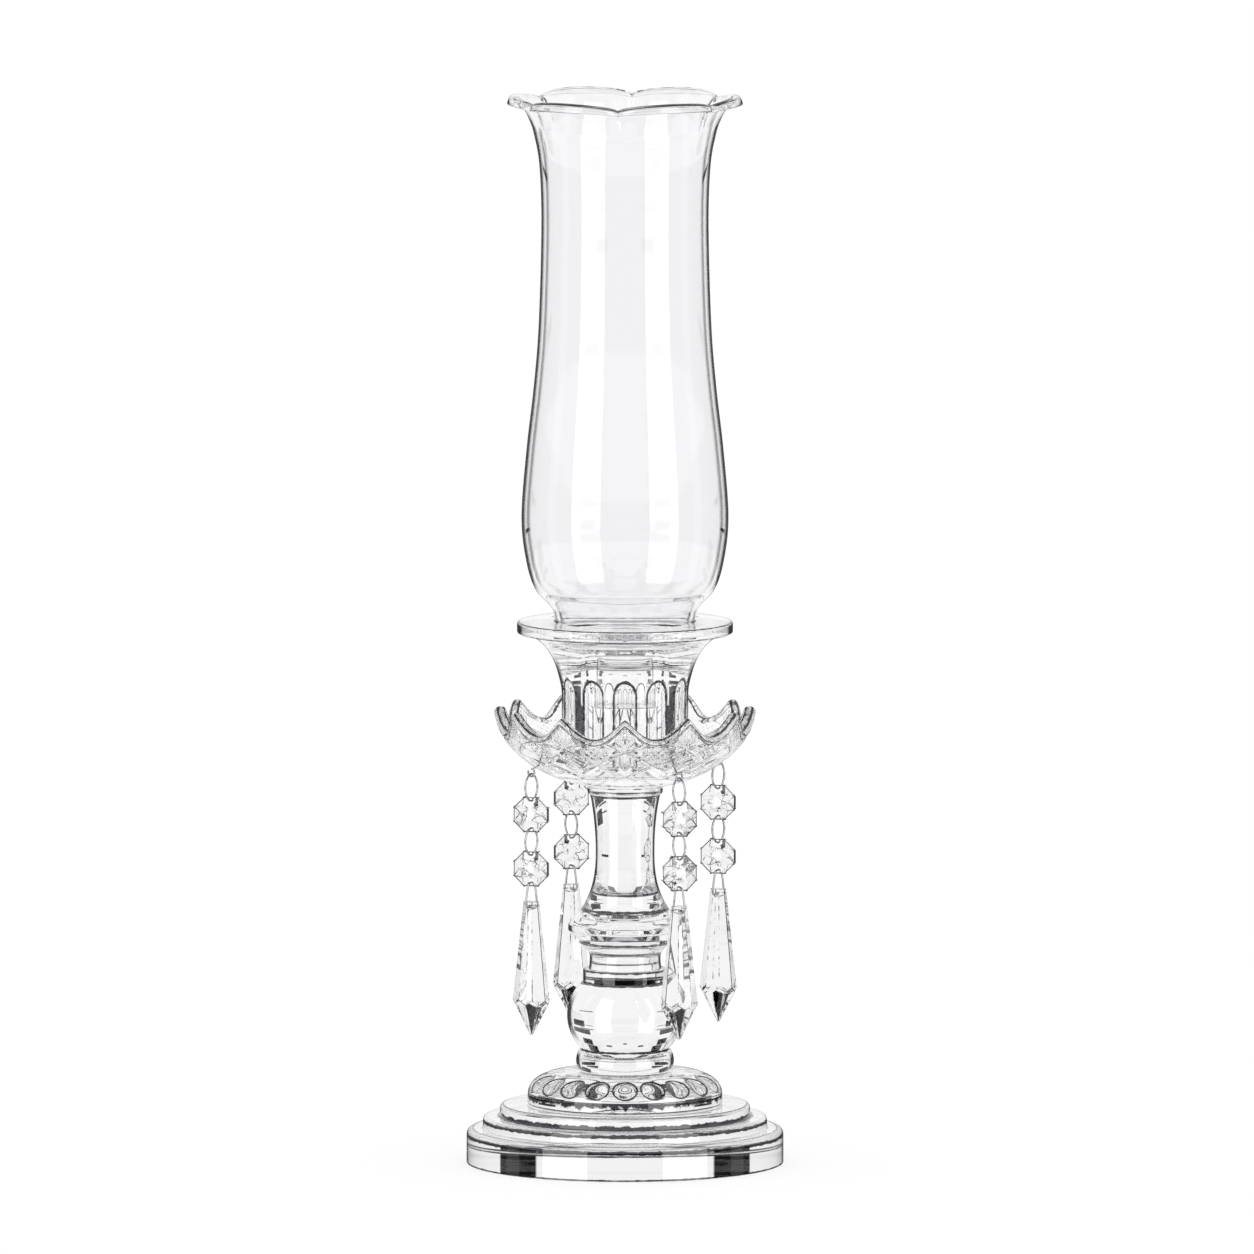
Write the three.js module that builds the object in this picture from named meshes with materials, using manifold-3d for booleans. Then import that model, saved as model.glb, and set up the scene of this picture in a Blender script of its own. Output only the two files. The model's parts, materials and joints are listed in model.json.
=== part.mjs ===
// Hurricane candle holder in clear cut glass, in millimetres, +Z up.
// The foot's underside is at z = 0, and the side that is usually shown faces -Y.
import * as THREE from 'three';
import { mergeVertices } from 'three/addons/utils/BufferGeometryUtils.js';
import Module from 'manifold-3d';

const wasm = await Module();
wasm.setup();

// Foot: three round steps in one pressed piece
const footRadius = 63.5;
const footEdgeHeight = 13.9;
const middleStepRadius = 57.2;
const middleStepHeight = 5;
const topStepRadius = 50.4;
const topStepHeight = 4.8;
const stepEdge = 1;

// Dome on the foot, with a row of oval cuts round its shoulder
const domeRadius = 39.2;
const domeHeight = 13;
const domeShoulder = 9;
const domeTopRadius = 24.8;
const petalCount = 20;
const petalDepth = 0.7;

// Stem, from the dome up
const collarRadius = 19.6;
const collarHeight = 9.2;
const collarSag = 2;
const ballRadius = 23.2;
const ballHeight = 27;
const ballEndRadius = 17.3;
const spoolDiscRadius = 16.9;
const spoolDiscHeight = 5.2;
const spoolWaistRadius = 14.2;
const spoolHeight = 16;
const knopRadius = 22.8;
const knopHeight = 13.5;
const knopEndRadius = 17.4;
const columnWaistRadius = 11.8;
const columnTopRadius = 15.1;
const columnHeight = 49.6;
const columnLipHeight = 3.5;

// Drip dish: an oval bowl in section, with a scalloped edge
const dishRadius = 52.4;
const dishDepth = 33.3;
const dishWall = 5;
const dishFloor = 6.1;
const dishFootRadius = 15.5;
const scallopCount = 12;
const scallopDepth = 8.2;
const scallopSharpness = 0.65;

// Candle socket: a fluted cup with a flared flange that carries the shade
const socketRadius = 25.7;
const socketHeight = 57;
const socketSeatMargin = 0.6;
const fluteCount = 12;
const fluteDepth = 1.1;
const fluteWidthShare = 0.7;
const fluteTopHeight = 34;
const fluteFade = 2.5;
const flareHeight = 25.4;
const flangeRadius = 43.2;
const flangeThickness = 4.8;
const seatDepth = 2.2;
const seatWidth = 3.8;
const seatClearance = 0.8;
const waxCupDepth = 2.6;
const waxCupFall = 2;
const candleRadius = 11;
const candleClearance = 0.4;
const candleWellDepth = 27;

// Shade: a blown chimney with a foot, a belly, a waist and a crimped lip
const shadeFootRadius = 27.4;
const shadeFootHeight = 7.4;
const shadeFootTaper = 2;
const shadeShoulderRadius = 36;
const shadeShoulderHeight = 15;
const shadeBellyRadius = 41.4;
const shadeBellyHeight = 44;
const shadeWaistRadius = 33.4;
const shadeWaistHeight = 160;
const shadeThroatRadius = 36.4;
const shadeThroatHeight = 197.5;
const shadeLobeRadius = 46.3;
const shadeLobeHeight = 213.2;
const shadeLobeDroop = 3.8;
const shadeNotchRadius = 40.2;
const shadeNotchHeight = 210.4;
const shadeWall = 2;
const lobeCount = 6;
const lobeRoundness = 0.55;
const shadeTurn = -4;

// Prism chains: a clinched pin, two wire rings, two cut beads, a wire bail and a drop
const hangerHoleRadius = 0.9;
const hangerHoleInset = 12.4;
const hangerInset = 9.2;
const wireRadius = 0.4;
const wireGap = 0.3;
const eyeRadius = 1.5;
const eyeDrop = 2.8;
const eyeSetBack = 0.9;
const shankReach = 0.6;
const pinHeadRadius = 1.5;
const pinHeadThickness = 0.7;
const ringHeight = 11.7;
const ringWidth = 9.2;
const beadSize = 14;
const beadThickness = 5.6;
const beadEdge = 1.4;
const beadTable = 5.2;
const beadHoleRadius = 1.3;
const beadHoleAt = 5.15;
const bailHeight = 10.6;
const bailWidth = 8.4;
const bailTopWidth = 5;
const bailCorner = 1.2;
const prismLength = 54.8;
const prismTopWidth = 6.3;
const prismTopDepth = 4.2;
const prismWidth = 14.7;
const prismDepth = 10.4;
const prismTipLength = 14;
const prismHoleRadius = 1.1;
const prismHoleAt = 2.4;
const beadTurn = 15;
const ringTurn = 35;
const prismTurn = 27;

// Where each chain hangs round the dish, in degrees, and which way its rings are turned
const chains = [
  { name: 'front_left', at: -150, lean: -1 },
  { name: 'front_right', at: -60, lean: 1 },
  { name: 'back_right', at: 30, lean: -1 },
  { name: 'back_left', at: 120, lean: 1 },
];

// Fineness of the round shapes
const footSides = 40;
const stemSides = 28;
const pointsPerPetal = 3;
const pointsPerScallop = 5;
const pointsPerFlute = 5;
const pointsPerLobe = 8;
const boreSides = 32;
const holeSides = 10;
const wireSides = 5;
const ringSteps = 14;
const bailSteps = 18;
const pinSteps = 18;

// Levels, stacked from the foot up
const footHeight = footEdgeHeight + middleStepHeight + topStepHeight;
const collarZ = footHeight + domeHeight;
const ballZ = collarZ + collarHeight;
const spoolZ = ballZ + ballHeight;
const knopZ = spoolZ + spoolHeight;
const columnZ = knopZ + knopHeight;
const columnTopZ = columnZ + columnHeight;
const dishFootShare = dishFootRadius / dishRadius;
const dishTipZ = columnTopZ + dishDepth * Math.sqrt(1 - dishFootShare ** 2);
const dishInnerRadius = dishRadius - dishWall;
const dishInnerDepth = dishDepth - dishFloor;
const socketSeatRadius = socketRadius + socketSeatMargin;
const socketZ = dishInnerZ(socketSeatRadius);
const flangeZ = socketZ + socketHeight - flangeThickness;
const socketTopZ = socketZ + socketHeight;
const shadeZ = socketTopZ - seatDepth;

const glass = new THREE.MeshStandardMaterial({
  color: 0xf1f3f7, roughness: 0.03, metalness: 0, transparent: true, opacity: 0.35,
});
const wire = new THREE.MeshStandardMaterial({ color: 0xc9cbd0, roughness: 0.2, metalness: 1 });

const holder = new THREE.Group();

function place(name, geometry, material, parent = holder) {
  const mesh = new THREE.Mesh(geometry, material);
  mesh.name = name;
  parent.add(mesh);
}

function radians(degrees) {
  return degrees * Math.PI / 180;
}

function onCircle(radius, angle, z) {
  return new THREE.Vector3(radius * Math.cos(angle), radius * Math.sin(angle), z);
}

// A mesh whose shared corners are one, with no collapsed triangles.
function welded(geometry) {
  geometry.deleteAttribute('normal');
  geometry.deleteAttribute('uv');
  const merged = mergeVertices(geometry, 1e-4);
  const corners = merged.getIndex().array;
  const kept = [];
  for (let i = 0; i < corners.length; i += 3) {
    const [a, b, c] = [corners[i], corners[i + 1], corners[i + 2]];
    if (a !== b && b !== c && c !== a) kept.push(a, b, c);
  }
  merged.setIndex(kept);
  return merged;
}

function toSolid(geometry) {
  const merged = welded(geometry);
  return new wasm.Manifold(new wasm.Mesh({
    numProp: 3,
    vertProperties: new Float32Array(merged.getAttribute('position').array),
    triVerts: new Uint32Array(merged.getIndex().array),
  }));
}

function toGeometry(solid) {
  const mesh = solid.getMesh();
  const geometry = new THREE.BufferGeometry();
  geometry.setAttribute('position', new THREE.BufferAttribute(mesh.vertProperties, 3));
  geometry.setIndex(Array.from(mesh.triVerts));
  return geometry;
}

function cut(geometry, cutters) {
  const whole = toSolid(geometry);
  return toGeometry(cutters.reduce((body, cutter) => body.subtract(toSolid(cutter)), whole));
}

function join(first, second) {
  return toGeometry(toSolid(first).add(toSolid(second)));
}

// A skin over rings of equally many points. Seen from the end that the rings run towards,
// each ring goes round counter-clockwise. The ends close on a point each, or the last ring
// joins the first.
function skin(rings, ends) {
  const count = rings[0].length;
  const points = rings.flat();
  const faces = [];
  const steps = ends ? rings.length - 1 : rings.length;
  for (let i = 0; i < steps; i += 1) {
    const low = i * count;
    const high = ((i + 1) % rings.length) * count;
    for (let j = 0; j < count; j += 1) {
      const k = (j + 1) % count;
      faces.push(low + j, low + k, high + k, low + j, high + k, high + j);
    }
  }
  if (ends) {
    const top = (rings.length - 1) * count;
    const [first, last] = [points.length, points.length + 1];
    points.push(...ends);
    for (let j = 0; j < count; j += 1) {
      const k = (j + 1) % count;
      faces.push(first, k, j, last, top + j, top + k);
    }
  }
  const places = points.flatMap((p) => [p.x, p.y, p.z]);
  const geometry = new THREE.BufferGeometry();
  geometry.setAttribute('position', new THREE.Float32BufferAttribute(places, 3));
  geometry.setIndex(faces);
  return geometry;
}

// A round piece turned from an outline of [radius, height] that runs up from the axis to the axis.
function turned(outline, sides) {
  const points = outline.map(([r, z]) => new THREE.Vector2(r, z));
  const geometry = new THREE.LatheGeometry(points, sides);
  geometry.rotateX(Math.PI / 2);
  return welded(geometry);
}

// Foot
function stepUp(radius, low, high) {
  return [[radius, low], [radius, high - stepEdge], [radius - stepEdge, high]];
}

const middleStepZ = footEdgeHeight + middleStepHeight;
place('stepped_foot', turned([
  [0, 0],
  [footRadius - stepEdge, 0],
  ...stepUp(footRadius, stepEdge, footEdgeHeight),
  ...stepUp(middleStepRadius, footEdgeHeight, middleStepZ),
  ...stepUp(topStepRadius, middleStepZ, footHeight),
  [0, footHeight],
], footSides), glass);

// Dome: an upright edge, then a rounded shoulder that carries the petals
function domeRing(radius, z, petal) {
  const count = petalCount * pointsPerPetal;
  return Array.from({ length: count }, (_, i) => {
    const isMiddle = i % pointsPerPetal === 0;
    return onCircle(radius - (isMiddle ? petal : 0), 2 * Math.PI * i / count, z);
  });
}

const domeEdgeZ = footHeight + domeHeight - domeShoulder;
const domeRings = [
  domeRing(domeRadius, footHeight, 0),
  domeRing(domeRadius, domeEdgeZ, 0),
  ...[0.2, 0.45, 0.7].map((share) => {
    const turn = Math.PI / 2 * share;
    const radius = domeTopRadius + (domeRadius - domeTopRadius) * Math.cos(turn);
    return domeRing(radius, domeEdgeZ + domeShoulder * Math.sin(turn) ** 0.9, petalDepth);
  }),
  domeRing(domeTopRadius, collarZ, 0),
];
place('petal_dome', skin(domeRings, [
  new THREE.Vector3(0, 0, footHeight),
  new THREE.Vector3(0, 0, collarZ),
]), glass);

// Stem pieces, bonded face to face
place('stem_collar', turned([
  [0, collarZ],
  [collarRadius - collarSag, collarZ],
  [collarRadius - 0.3 * collarSag, collarZ + 0.2 * collarHeight],
  [collarRadius, collarZ + 0.45 * collarHeight],
  [collarRadius - 0.3 * collarSag, collarZ + 0.75 * collarHeight],
  [collarRadius - collarSag, ballZ],
  [0, ballZ],
], stemSides), glass);

// The ball is an oval, cut flat where it is as narrow as its two ends.
const ballHalf = ballHeight / 2;
const ballHalfFull = ballHalf / Math.sqrt(1 - (ballEndRadius / ballRadius) ** 2);
const ballOutline = Array.from({ length: 9 }, (_, i) => {
  const z = ballHalf * (i / 4 - 1);
  return [ballRadius * Math.sqrt(1 - (z / ballHalfFull) ** 2), ballZ + ballHalf + z];
});
place('stem_ball', turned([[0, ballZ], ...ballOutline, [0, spoolZ]], stemSides), glass);

const spoolDiscZ = spoolZ + spoolDiscHeight;
const spoolWaistZ = spoolDiscZ + 0.45 * (spoolHeight - spoolDiscHeight);
place('stem_spool', turned([
  [0, spoolZ],
  [spoolDiscRadius - stepEdge, spoolZ],
  [spoolDiscRadius, spoolZ + stepEdge],
  [spoolDiscRadius, spoolDiscZ - stepEdge],
  [spoolDiscRadius - stepEdge, spoolDiscZ],
  [spoolWaistRadius, spoolWaistZ],
  [(spoolWaistRadius + knopEndRadius) / 2, knopZ - stepEdge],
  [knopEndRadius, knopZ],
  [0, knopZ],
], stemSides), glass);

place('stem_knop', turned([
  [0, knopZ],
  [knopEndRadius, knopZ],
  [knopRadius - stepEdge, knopZ + 0.28 * knopHeight],
  [knopRadius, knopZ + 0.43 * knopHeight],
  [knopRadius - stepEdge / 2, knopZ + 0.57 * knopHeight],
  [knopEndRadius, columnZ],
  [0, columnZ],
], stemSides), glass);

// The column's side from its foot to under its lip, by shares of its height and of its flare.
const columnSide = [
  [0.12, 0.5, knopEndRadius],
  [0.34, 0.05, knopEndRadius],
  [0.5, 0, knopEndRadius],
  [0.72, 0.2, columnTopRadius],
].map(([up, out, endRadius]) => new THREE.Vector2(
  columnWaistRadius + out * (endRadius - columnWaistRadius),
  columnZ + up * columnHeight,
));
const columnLipZ = columnTopZ - columnLipHeight;
const columnCurve = new THREE.SplineCurve([
  new THREE.Vector2(knopEndRadius, columnZ),
  ...columnSide,
  new THREE.Vector2(columnTopRadius - stepEdge, columnLipZ - stepEdge),
]);
place('stem_column', turned([
  [0, columnZ],
  ...columnCurve.getPoints(9).map((p) => [p.x, p.y]),
  [columnTopRadius, columnLipZ],
  [columnTopRadius, columnTopZ - stepEdge],
  [columnTopRadius - stepEdge, columnTopZ],
  [0, columnTopZ],
], stemSides), glass);

// Drip dish
function dishOuterZ(radius) {
  return dishTipZ - dishDepth * Math.sqrt(1 - (radius / dishRadius) ** 2);
}

function dishInnerZ(radius) {
  return dishTipZ - dishInnerDepth * Math.sqrt(1 - (radius / dishInnerRadius) ** 2);
}

function dishOuterRadius(z) {
  return dishRadius * Math.sqrt(1 - ((dishTipZ - z) / dishDepth) ** 2);
}

function dishInnerRadiusAt(z) {
  return dishInnerRadius * Math.sqrt(1 - ((dishTipZ - z) / dishInnerDepth) ** 2);
}

// How far the edge lies below a scallop's tip, at an angle counted from the tip.
function scallopDrop(angle) {
  const pitch = 2 * Math.PI / scallopCount;
  const away = Math.abs(angle - pitch * Math.round(angle / pitch)) / (pitch / 2);
  return scallopDepth * Math.sin(Math.PI / 2 * away ** scallopSharpness) ** 2;
}

function dishRing(share, lowZ, radiusAt) {
  const count = scallopCount * pointsPerScallop;
  return Array.from({ length: count }, (_, i) => {
    const angle = 2 * Math.PI * i / count;
    const z = lowZ + share * (dishTipZ - scallopDrop(angle) - lowZ);
    return onCircle(radiusAt(z), angle, z);
  });
}

const dishShares = [0, 0.08, 0.2, 0.38, 0.6, 0.82, 1];
const dishRings = [
  ...dishShares.map((share) => dishRing(share, columnTopZ, dishOuterRadius)),
  ...dishShares.slice(1).reverse().map((share) => dishRing(share, socketZ, dishInnerRadiusAt)),
  dishRing(0, socketZ, dishInnerRadiusAt),
];
const dishBody = skin(dishRings, [
  new THREE.Vector3(0, 0, columnTopZ),
  new THREE.Vector3(0, 0, socketZ),
]);

// Each hanger's hole goes square through the dish's wall, and keeps its distance from the edge.
const hangerHoleAt = dishRadius - hangerHoleInset;
const hangerRadius = dishRadius - hangerInset;
const holeZ = dishOuterZ(hangerHoleAt);
const wallSlope = new THREE.Vector2(
  hangerHoleAt / dishRadius ** 2,
  (holeZ - dishTipZ) / dishDepth ** 2,
).normalize();

// The hole's length: from the wall's outside to where its line meets the inner oval.
function wallLength() {
  const [a, b] = [1 / dishInnerRadius ** 2, 1 / dishInnerDepth ** 2];
  const [r, z] = [hangerHoleAt, holeZ - dishTipZ];
  const square = a * wallSlope.x ** 2 + b * wallSlope.y ** 2;
  const linear = -2 * (a * r * wallSlope.x + b * z * wallSlope.y);
  const fixed = a * r ** 2 + b * z ** 2 - 1;
  return (-linear - Math.sqrt(linear ** 2 - 4 * square * fixed)) / (2 * square);
}

const holeLength = wallLength();

function hangerFrame(chain) {
  const outward = onCircle(1, radians(chain.at), 0);
  const along = outward.clone().multiplyScalar(wallSlope.x).setZ(wallSlope.y);
  const mouth = outward.clone().multiplyScalar(hangerHoleAt).setZ(holeZ);
  return { outward, along, mouth };
}

function rodAlong(from, to, radius, sides) {
  const rod = new THREE.CylinderGeometry(radius, radius, from.distanceTo(to), sides);
  const way = to.clone().sub(from).normalize();
  rod.applyQuaternion(new THREE.Quaternion().setFromUnitVectors(new THREE.Vector3(0, 1, 0), way));
  const middle = from.clone().add(to).multiplyScalar(0.5);
  rod.translate(middle.x, middle.y, middle.z);
  return rod;
}

const hangerHoles = chains.map((chain) => {
  const { along, mouth } = hangerFrame(chain);
  const inside = mouth.clone().addScaledVector(along, -holeLength - 2 * dishWall);
  const outside = mouth.clone().addScaledVector(along, 2 * dishWall);
  return rodAlong(inside, outside, hangerHoleRadius, holeSides);
});
place('drip_dish', cut(dishBody, hangerHoles), glass);

// Candle socket, with a round bore for the shade's foot, the wax cup and the candle
const flareZ = flangeZ - flareHeight;
const fluteTopZ = socketZ + fluteTopHeight;

// The cup's side is straight up to the flare, a quarter of an oval that ends at the flange.
function cupRadius(z) {
  const share = Math.min(1, Math.max(0, (z - flareZ) / flareHeight));
  return socketRadius + (flangeRadius - socketRadius) * (1 - Math.sqrt(1 - share ** 2));
}

function fluteShape(angle) {
  const pitch = 2 * Math.PI / fluteCount;
  const away = Math.abs(angle - pitch * Math.round(angle / pitch)) / (pitch / 2);
  return fluteDepth * Math.cos(Math.PI / 2 * Math.min(1, away / fluteWidthShare));
}

function socketRing(radius, z) {
  const count = fluteCount * pointsPerFlute;
  return Array.from({ length: count }, (_, i) => {
    const angle = 2 * Math.PI * i / count;
    return onCircle(radius - (z < fluteTopZ ? fluteShape(angle) : 0), angle, z);
  });
}

const cupLevels = [
  socketZ,
  fluteTopZ - fluteFade,
  ...[0, 0.25, 0.5, 0.7, 0.86, 0.95, 1].map((share) => fluteTopZ + share * (flangeZ - fluteTopZ)),
];
const socketRings = [
  ...cupLevels.map((z) => socketRing(cupRadius(z), z)),
  socketRing(flangeRadius, socketTopZ - stepEdge / 2),
  socketRing(flangeRadius - stepEdge / 2, socketTopZ),
];
const seatRadius = shadeFootRadius + seatClearance;
const waxCupRadius = seatRadius - seatWidth;
const wellRadius = candleRadius + candleClearance;
const waxCupZ = shadeZ - waxCupDepth;
const wellMouthZ = waxCupZ - waxCupFall;
const wellFloorZ = wellMouthZ - candleWellDepth;
const socketBore = turned([
  [0, wellFloorZ],
  [wellRadius, wellFloorZ],
  [wellRadius, wellMouthZ],
  [waxCupRadius - stepEdge, waxCupZ],
  [waxCupRadius, shadeZ],
  [seatRadius, shadeZ],
  [seatRadius, socketTopZ + stepEdge],
  [0, socketTopZ + stepEdge],
], boreSides);
const socketBody = skin(socketRings, [
  new THREE.Vector3(0, 0, socketZ),
  new THREE.Vector3(0, 0, socketTopZ),
]);
place('candle_socket', cut(socketBody, [socketBore]), glass);

// Shade: the outer side's line from foot to throat, and then two lines for the lip,
// one through a lobe and one through a notch, blended round the rim.
const shadeShoulder = new THREE.Vector2(shadeShoulderRadius, shadeShoulderHeight);
const shadeBelly = new THREE.Vector2(shadeBellyRadius, shadeBellyHeight);
const shadeWaist = new THREE.Vector2(shadeWaistRadius, shadeWaistHeight);
const shadeThroat = new THREE.Vector2(shadeThroatRadius, shadeThroatHeight);

// A point between two others, by its shares of the way out and of the way up.
function between(low, high, out, up) {
  return new THREE.Vector2(low.x + out * (high.x - low.x), low.y + up * (high.y - low.y));
}

const shadeSide = new THREE.SplineCurve([
  new THREE.Vector2(shadeFootRadius, 0),
  new THREE.Vector2(shadeFootRadius + shadeFootTaper, shadeFootHeight),
  shadeShoulder,
  between(shadeShoulder, shadeBelly, 0.67, 0.4),
  shadeBelly,
  between(shadeBelly, shadeWaist, 0.25, 0.23),
  between(shadeBelly, shadeWaist, 0.6, 0.44),
  between(shadeBelly, shadeWaist, 0.86, 0.66),
  shadeWaist,
  between(shadeWaist, shadeThroat, 0.25, 0.65),
  shadeThroat,
]);

function lipLine(edgeRadius, crestHeight, shares) {
  const edge = new THREE.Vector2(edgeRadius, crestHeight);
  return shares.map(([out, up]) => between(shadeThroat, edge, out, up));
}

const lobeShares = [[0.2, 0.42], [0.45, 0.78], [0.72, 1], [0.9, 0.97]];
const lobeLine = lipLine(shadeLobeRadius, shadeLobeHeight, lobeShares);
lobeLine.push(new THREE.Vector2(shadeLobeRadius, shadeLobeHeight - shadeLobeDroop));
const notchShares = [[0.28, 0.3], [0.55, 0.56], [0.76, 0.76], [0.9, 0.9], [1, 1]];
const notchLine = lipLine(shadeNotchRadius, shadeNotchHeight, notchShares);

const sidePoints = shadeSide.getPoints(11);

// How far an angle of the rim is out on a lobe: 0 at a notch and 1 at a lobe's middle.
function lobeShare(angle) {
  return Math.abs(Math.sin(lobeCount / 2 * (angle - radians(shadeTurn - 90)))) ** lobeRoundness;
}

function shadeLine(angle) {
  const share = lobeShare(angle);
  return [...sidePoints, ...notchLine.map((p, i) => p.clone().lerp(lobeLine[i], share))];
}

// The wall lies inside the line, square to it.
function insideOf(line) {
  return line.map((p, i) => {
    const before = line[Math.max(0, i - 1)];
    const after = line[Math.min(line.length - 1, i + 1)];
    const way = after.clone().sub(before).normalize();
    const inner = new THREE.Vector2(p.x - shadeWall * way.y, p.y + shadeWall * way.x);
    return i === 0 ? new THREE.Vector2(inner.x, p.y) : inner;
  });
}

function shadeRings() {
  const count = lobeCount * pointsPerLobe;
  const columns = Array.from({ length: count }, (_, i) => {
    const angle = 2 * Math.PI * i / count + radians(shadeTurn - 90);
    const line = shadeLine(angle);
    return [...line, ...insideOf(line).reverse()].map((p) => onCircle(p.x, angle, shadeZ + p.y));
  });
  return columns[0].map((_, row) => columns.map((column) => column[row]));
}

place('hurricane_shade', skin(shadeRings()), glass);

// Chains. Each piece is made round its own middle, with its holes' direction along Y.
function roundSection(radius, sides) {
  return Array.from({ length: sides }, (_, i) => {
    const turn = 2 * Math.PI * i / sides;
    return new THREE.Vector2(radius * Math.cos(turn), radius * Math.sin(turn));
  });
}

// A closed wire in the YZ plane through a point for each share of the way round.
function wireLoop(point, steps) {
  const section = roundSection(wireRadius, wireSides);
  const rings = Array.from({ length: steps }, (_, i) => {
    const here = point(i / steps);
    const way = point((i + 0.5) / steps).sub(point((i - 0.5) / steps)).normalize();
    const out = new THREE.Vector3(0, -way.z, way.y);
    return section.map((s) => here.clone().addScaledVector(out, s.x).add(new THREE.Vector3(s.y, 0, 0)));
  });
  return skin(rings);
}

function ringGeometry() {
  const [halfWidth, halfHeight] = [ringWidth / 2 - wireRadius, ringHeight / 2 - wireRadius];
  return wireLoop((share) => {
    const turn = 2 * Math.PI * share;
    return new THREE.Vector3(0, halfWidth * Math.cos(turn), halfHeight * Math.sin(turn));
  }, ringSteps);
}

// The bail is narrow and round at the top, and straight at the bottom, where it goes through the drop.
const bailHalfHeight = bailHeight / 2 - wireRadius;
const bailHalfWidth = bailWidth / 2 - wireRadius;
const bailShoulder = bailTopWidth / 2;
const bailLeft = [
  [0.64 * bailShoulder, bailHalfHeight - 0.18 * bailShoulder],
  [bailShoulder, bailHalfHeight - 0.72 * bailShoulder],
  [bailHalfWidth, -bailHalfHeight + 1.6 * bailCorner],
  [bailHalfWidth - 0.3 * bailCorner, -bailHalfHeight + 0.3 * bailCorner],
  [bailHalfWidth - bailCorner, -bailHalfHeight],
];
const bailCurve = new THREE.CatmullRomCurve3([
  new THREE.Vector3(0, 0, bailHalfHeight),
  ...bailLeft.map(([y, z]) => new THREE.Vector3(0, -y, z)),
  ...bailLeft.map(([y, z]) => new THREE.Vector3(0, y, z)).reverse(),
], true, 'centripetal');

function bailGeometry() {
  return wireLoop((share) => bailCurve.getPointAt((share + 1) % 1), bailSteps);
}

function holeAlongY(radius, thickness, z) {
  const from = new THREE.Vector3(0, -thickness, z);
  const to = new THREE.Vector3(0, thickness, z);
  return rodAlong(from, to, radius, holeSides);
}

// An eight-sided bead, flat in its middle on both sides and thin at its edge.
function beadGeometry() {
  const layers = [
    [beadTable, -beadThickness / 2],
    [beadSize, -beadEdge / 2],
    [beadSize, beadEdge / 2],
    [beadTable, beadThickness / 2],
  ];
  const rings = layers.map(([size, y]) => Array.from({ length: 8 }, (_, i) => {
    const turn = Math.PI / 8 * (2 * i + 1);
    const reach = size / 2 / Math.cos(Math.PI / 8);
    return new THREE.Vector3(reach * Math.cos(turn), y, -reach * Math.sin(turn));
  }));
  const body = skin(rings, [
    new THREE.Vector3(0, -beadThickness / 2, 0),
    new THREE.Vector3(0, beadThickness / 2, 0),
  ]);
  const holes = [beadHoleAt, -beadHoleAt];
  return cut(body, holes.map((z) => holeAlongY(beadHoleRadius, beadThickness, z)));
}

// A long eight-sided drop that widens downwards and ends in a point. Its top is at z = 0.
function prismGeometry() {
  const layers = [
    [prismWidth, prismDepth, prismTipLength - prismLength],
    [prismTopWidth, prismTopDepth, 0],
  ];
  const rings = layers.map(([width, depth, z]) => {
    const corners = [[0.5, -0.22], [0.5, 0.22], [0.24, 0.5], [-0.24, 0.5]];
    const half = corners.map(([x, y]) => new THREE.Vector3(x * width, y * depth, z));
    return [...half, ...half.map((p) => new THREE.Vector3(-p.x, -p.y, z))];
  });
  const body = skin(rings, [new THREE.Vector3(0, 0, -prismLength), new THREE.Vector3(0, 0, 0)]);
  return cut(body, [holeAlongY(prismHoleRadius, prismDepth, -prismHoleAt)]);
}

// Levels in a chain, from the pin's eye down. Wires that cross lie wireGap apart.
const eyeZ = holeZ - eyeDrop;
const crossing = 2 * wireRadius + wireGap;
const upperRingTopZ = eyeZ - eyeRadius + crossing;
const ringMiddleToWire = ringHeight / 2 - wireRadius;
const playShare = 1 / 3;
const wireToBead = beadHoleAt + playShare * (beadHoleRadius - wireRadius);
const upperRingZ = upperRingTopZ - ringMiddleToWire;
const upperBeadZ = upperRingZ - ringMiddleToWire - wireToBead;
const lowerRingZ = upperBeadZ - wireToBead - ringMiddleToWire;
const lowerBeadZ = lowerRingZ - ringMiddleToWire - wireToBead;
const bailZ = lowerBeadZ - wireToBead - bailHalfHeight;
const prismPlay = playShare * (prismHoleRadius - wireRadius);
const prismZ = bailZ - bailHalfHeight + prismHoleAt - prismPlay;

// The pin: a flat head inside the dish, a shank through the wall, and an open eye below it.
function pinGeometry(chain) {
  const { outward, along, mouth } = hangerFrame(chain);
  const turn = radians(chain.lean * ringTurn);
  const across = new THREE.Vector3(Math.cos(turn), Math.sin(turn), 0);
  const facing = new THREE.Vector3(Math.sin(turn), -Math.cos(turn), 0);
  const inwards = facing.dot(outward) > 0 ? -1 : 1;
  const centre = outward.clone().multiplyScalar(hangerRadius).setZ(eyeZ);
  const eyeAt = (degrees) => centre.clone()
    .addScaledVector(across, eyeRadius * Math.cos(radians(degrees)))
    .add(new THREE.Vector3(0, 0, eyeRadius * Math.sin(radians(degrees))));
  const headFace = mouth.clone().addScaledVector(along, -holeLength - wireGap);
  const headBack = headFace.clone().addScaledVector(along, -pinHeadThickness);
  const points = [
    headFace.clone().addScaledVector(along, -pinHeadThickness / 2),
    mouth.clone().addScaledVector(along, -holeLength / 2),
    mouth.clone().addScaledVector(along, shankReach),
    eyeAt(90).addScaledVector(facing, eyeSetBack * inwards),
    ...[75, 45, 15, -15, -45, -75, -105, -135, -165, -195, -210].map(eyeAt),
  ];
  const shank = new THREE.ExtrudeGeometry(new THREE.Shape(roundSection(wireRadius, wireSides)), {
    steps: pinSteps,
    bevelEnabled: false,
    extrudePath: new THREE.CatmullRomCurve3(points, false, 'centripetal'),
  });
  return join(shank, rodAlong(headBack, headFace, pinHeadRadius, holeSides));
}

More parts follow.
